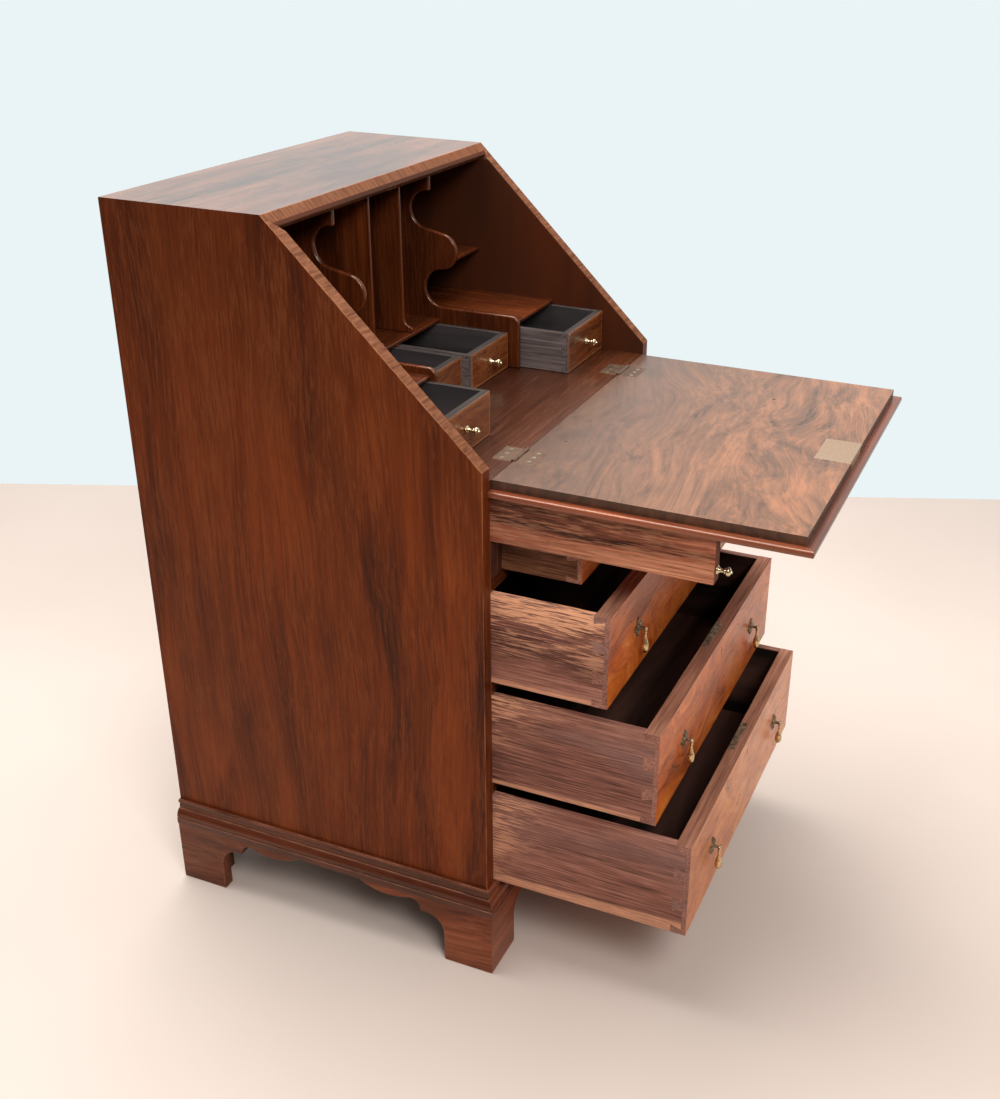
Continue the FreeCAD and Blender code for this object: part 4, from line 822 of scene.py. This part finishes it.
knobLook = {"Steps": 44, "Sides": 25}
knobProfile = [  # share of the length, share of the radius; a third value makes a sharp corner
    (0.0, 0.0, 1), (0.004, 1.0, 1), (0.05, 1.0), (0.09, 0.82), (0.11, 0.62, 1), (0.15, 0.66), (0.18, 0.5, 1),
    (0.34, 0.42), (0.46, 0.44), (0.5, 0.62, 1), (0.54, 0.62, 1), (0.56, 0.5, 1), (0.62, 0.8), (0.72, 0.95),
    (0.82, 0.8), (0.89, 0.4, 1), (0.92, 0.34), (0.96, 0.3), (1.0, 0.0, 1),
]
knobTree = turnedTree("turnedKnob", knobProfile)
for name in turnedNodes["knob"]:
    seats = solidBoxes(name)
    low, high = seats[0]
    values = dict(knobLook, Length=high.y - low.y, Radius=(high.x - low.x) / 2)
    spots = [((low.x + high.x) / 2, high.y, (low.z + high.z) / 2) for low, high in seats]
    grow(name + "_turned", knobTree, spots, values, materials["brightBrass"], bodyOf[name], slotOf[name], name)

dropLook = {"Steps": 60, "Sides": 25, "Tilt": (math.pi / 2, 0.0, 0.0)}
dropProfile = [
    (0.0, 0.0, 1), (0.02, 0.3), (0.07, 0.5), (0.13, 0.44), (0.16, 0.26, 1), (0.2, 0.42), (0.23, 0.42),
    (0.26, 0.28, 1), (0.38, 0.4), (0.54, 0.68), (0.66, 0.93), (0.76, 1.0), (0.86, 0.95), (0.93, 0.62),
    (0.95, 0.4, 1), (0.965, 0.4), (0.985, 0.28), (1.0, 0.0, 1),
]
dropTree = turnedTree("pearDrop", dropProfile)
for name in turnedNodes["drop"]:
    low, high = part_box(name)
    values = dict(dropLook, Length=high.z - low.z, Radius=(high.x - low.x) / 2)
    spot = ((low.x + high.x) / 2, (low.y + high.y) / 2, high.z)
    grow(name + "_turned", dropTree, [spot], values, materials["antiqueBrass"], bodyOf[name], slotOf[name], name)

domeProfile = [(0.0, 1.0, 1), (0.2, 0.98), (0.6, 0.72), (0.9, 0.34), (1.0, 0.0)]
domeTree = turnedTree("dome", domeProfile)
plateLook = {  # relief on the handle plates, in metres
    "thickness": 0.0015, "sunk": 0.0002, "lobePlace": 0.0085, "widths": (0.02, 0.03),
    "lobe": {"Length": 0.0014, "Radius": 0.0034, "Steps": 8, "Sides": 17},
    "boss": {"Length": 0.0035, "Radius": 0.0046, "Steps": 10, "Sides": 21},
}
for drawer in longDrawers:
    name = drawer + "_drawer_brasses"
    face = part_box(drawer + "_drawer_front")[0].y - plateLook["thickness"] + plateLook["sunk"]
    narrow, wide = plateLook["widths"]
    plates = [(low + high) / 2 for low, high in solidBoxes(name) if narrow < high.x - low.x < wide]
    reach = plateLook["lobePlace"]
    ways = [(reach, 0), (-reach, 0), (0, reach), (0, -reach)]
    lobes = [(plate.x + across, face, plate.z + up) for plate in plates for across, up in ways]
    bosses = [(plate.x, face, plate.z) for plate in plates]
    for part, spots in (("lobe", lobes), ("boss", bosses)):
        grow("%s_drawer_plate_%s" % (drawer, part), domeTree, spots, plateLook[part], materials["bronzePlate"],
             bodyOf[name], slotOf[name])

plugLook = {"Length": 0.0003, "Radius": 0.0024, "Steps": 5, "Sides": 17, "Tilt": (-math.pi / 2, 0.0, 0.0)}
plugPlaces = [(-0.1122, -0.0903), (0.1499, -0.2865)]  # old holes in the fall, filled with dark wax
plugSunk = 0.0001
plugs = [place + (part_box("fall_panel")[1].z - plugSunk,) for place in plugPlaces]
grow("fall_plugs", domeTree, plugs, plugLook, materials["darkWax"], "fall", "burr_walnut")

screwLook = {"Depth": 0.0012, "Slot": 0.0007}
headSunk = 0.0004  # the heads of screws and nails sit this far in
slottedTree = screwTree("slottedScrew")
for name in turnedNodes["screw"]:
    seats = solidBoxes(name)
    spots = [((low.x + high.x) / 2, (low.y + high.y) / 2, high.z - headSunk) for low, high in seats]
    values = dict(screwLook, Radius=(seats[0][1].x - seats[0][0].x) / 2)
    grow(name + "_slotted", slottedTree, spots, values, materials["screwBrass"], bodyOf[name], slotOf[name], name)

nailLook = {"Radius": 0.0026, "Depth": 0.0008, "Slot": 0.0001}
nailPlan = {"inset": 0.006, "margin": 0.02, "rows": 6, "body": "case", "slot": "aged_brass"}


def nailSpots(plan):  # rows of nails down both edges of each back plank
    spots = []
    for low, high in solidBoxes("back_boards"):
        for row in range(plan["rows"]):
            height = low.z + plan["margin"] + (high.z - low.z - 2 * plan["margin"]) * row / (plan["rows"] - 1)
            for across in (low.x + plan["inset"], high.x - plan["inset"]):
                spots.append((across, -height, high.y - headSunk))  # laid flat, and turned upright once grown
    return spots


grow("back_nails", slottedTree, nailSpots(nailPlan), nailLook, materials["bronzePlate"], nailPlan["body"],
     nailPlan["slot"], turn=Matrix.Rotation(-math.pi / 2, 4, "X"))
print("knobs, drops, plates, screws and nails grown")


# Camera: found from the vanishing points of the photograph, 1000 by 1099 pixels.
cameraLook = {
    "place": (-1.5203573, -0.6626053, 1.3138623), "pitch": 0.4561, "yaw": 1.1808, "roll": 0.0160,
    "focalPixels": 1313.3164, "centrePixels": (559.3576, 550.6401), "imageSize": (1000, 1099), "sensor": 36,
}


def addCamera(look):
    pitch, yaw, roll = look["pitch"], look["yaw"], look["roll"]
    ahead = Vector((math.cos(pitch) * math.sin(yaw), math.cos(pitch) * math.cos(yaw), -math.sin(pitch)))
    right = Vector((math.cos(yaw), -math.sin(yaw), 0))
    up = right.cross(ahead)
    rolledRight = math.cos(roll) * right + math.sin(roll) * up
    rolledUp = -math.sin(roll) * right + math.cos(roll) * up
    lens = bpy.data.cameras.new("camera")
    camera = bpy.data.objects.new("camera", lens)
    scene.collection.objects.link(camera)
    turn = Matrix((rolledRight, rolledUp, -ahead)).transposed().to_4x4()
    camera.matrix_world = Matrix.Translation(Vector(look["place"])) @ turn
    width, height = look["imageSize"]
    lens.sensor_width = look["sensor"]
    lens.sensor_fit = "AUTO"
    lens.lens = look["sensor"] * look["focalPixels"] / height
    lens.shift_x = (width / 2 - look["centrePixels"][0]) / height
    lens.shift_y = (look["centrePixels"][1] - height / 2) / height
    scene.camera = camera


lightLook = {
    "backdrop": tone(234, 244, 246), "backdropStrength": 1.0,  # what the camera sees behind the desk
    "bright": (0.90, 0.96, 0.97, 1), "dim": (0.10, 0.10, 0.10, 1), "roomStrength": 0.8,
    "brightWay": (0.90, 0.38, 0.22), "fromDim": -0.35, "toBright": 0.55,  # the room is pale on that side
    "lamps": {  # place, target, size, power
        "ceilingLamp": ((0.2, 0.6, 3.0), (0, 0.0, 0.5), 2.4, 125),
        "keyLamp": ((-1.9, -1.7, 2.8), (0, 0, 0.4), 1.2, 75),
    },
}


# The room lights the desk from a bright side and a dim side; the camera sees a plain pale backdrop.
def addLights(look):
    world = bpy.data.worlds.new("softRoom")
    scene.world = world
    world.use_nodes = True
    tree = world.node_tree
    way = addNode(tree, "ShaderNodeTexCoord").outputs["Generated"]
    facing = vectors(tree, "DOT_PRODUCT", way, look["brightWay"], "Value")
    share = window(tree, facing, look["fromDim"], look["toBright"])
    room = addNode(tree, "ShaderNodeBackground", None, {
        "Color": mixed(tree, share, look["dim"], look["bright"]), "Strength": look["roomStrength"]}).outputs[0]
    plain = addNode(tree, "ShaderNodeBackground", None, {
        "Color": look["backdrop"], "Strength": look["backdropStrength"]}).outputs[0]
    seen = addNode(tree, "ShaderNodeLightPath").outputs["Is Camera Ray"]
    sky = addNode(tree, "ShaderNodeMixShader", None, {0: seen, 1: room, 2: plain}).outputs[0]
    feed(tree, tree.nodes["World Output"].inputs["Surface"], sky)
    for name, (place, target, size, power) in look["lamps"].items():
        lamp = bpy.data.lights.new(name, "AREA")
        lamp.size = size
        lamp.energy = power
        holder = bpy.data.objects.new(name, lamp)
        scene.collection.objects.link(holder)
        holder.location = place
        holder.rotation_euler = (Vector(target) - Vector(place)).to_track_quat("-Z", "Y").to_euler()


floorLook = {
    "ahead": 1.35, "behind": 6.0, "aside": 6.0, "dark": tone(204, 186, 174), "light": tone(210, 193, 181),
    "spots": 1.5, "detail": 3.0, "roughness": 0.6,
}


def addFloor(look):  # a plain floor that ends behind the desk, square to the camera
    ahead = Vector((math.sin(cameraLook["yaw"]), math.cos(cameraLook["yaw"]), 0))
    aside = Vector((ahead.y, -ahead.x, 0))
    near, far = -look["behind"] * ahead, look["ahead"] * ahead
    width = look["aside"] * aside
    data = bpy.data.meshes.new("floor")
    data.from_pydata([near - width, near + width, far + width, far - width], [], [(0, 1, 2, 3)])
    floor = bpy.data.objects.new("floor", data)
    scene.collection.objects.link(floor)
    data.materials.append(mottledMaterial("paleFloor", look))


addCamera(cameraLook)
addLights(lightLook)
addFloor(floorLook)
scene.view_settings.view_transform = "Standard"
print("camera, light and floor set")
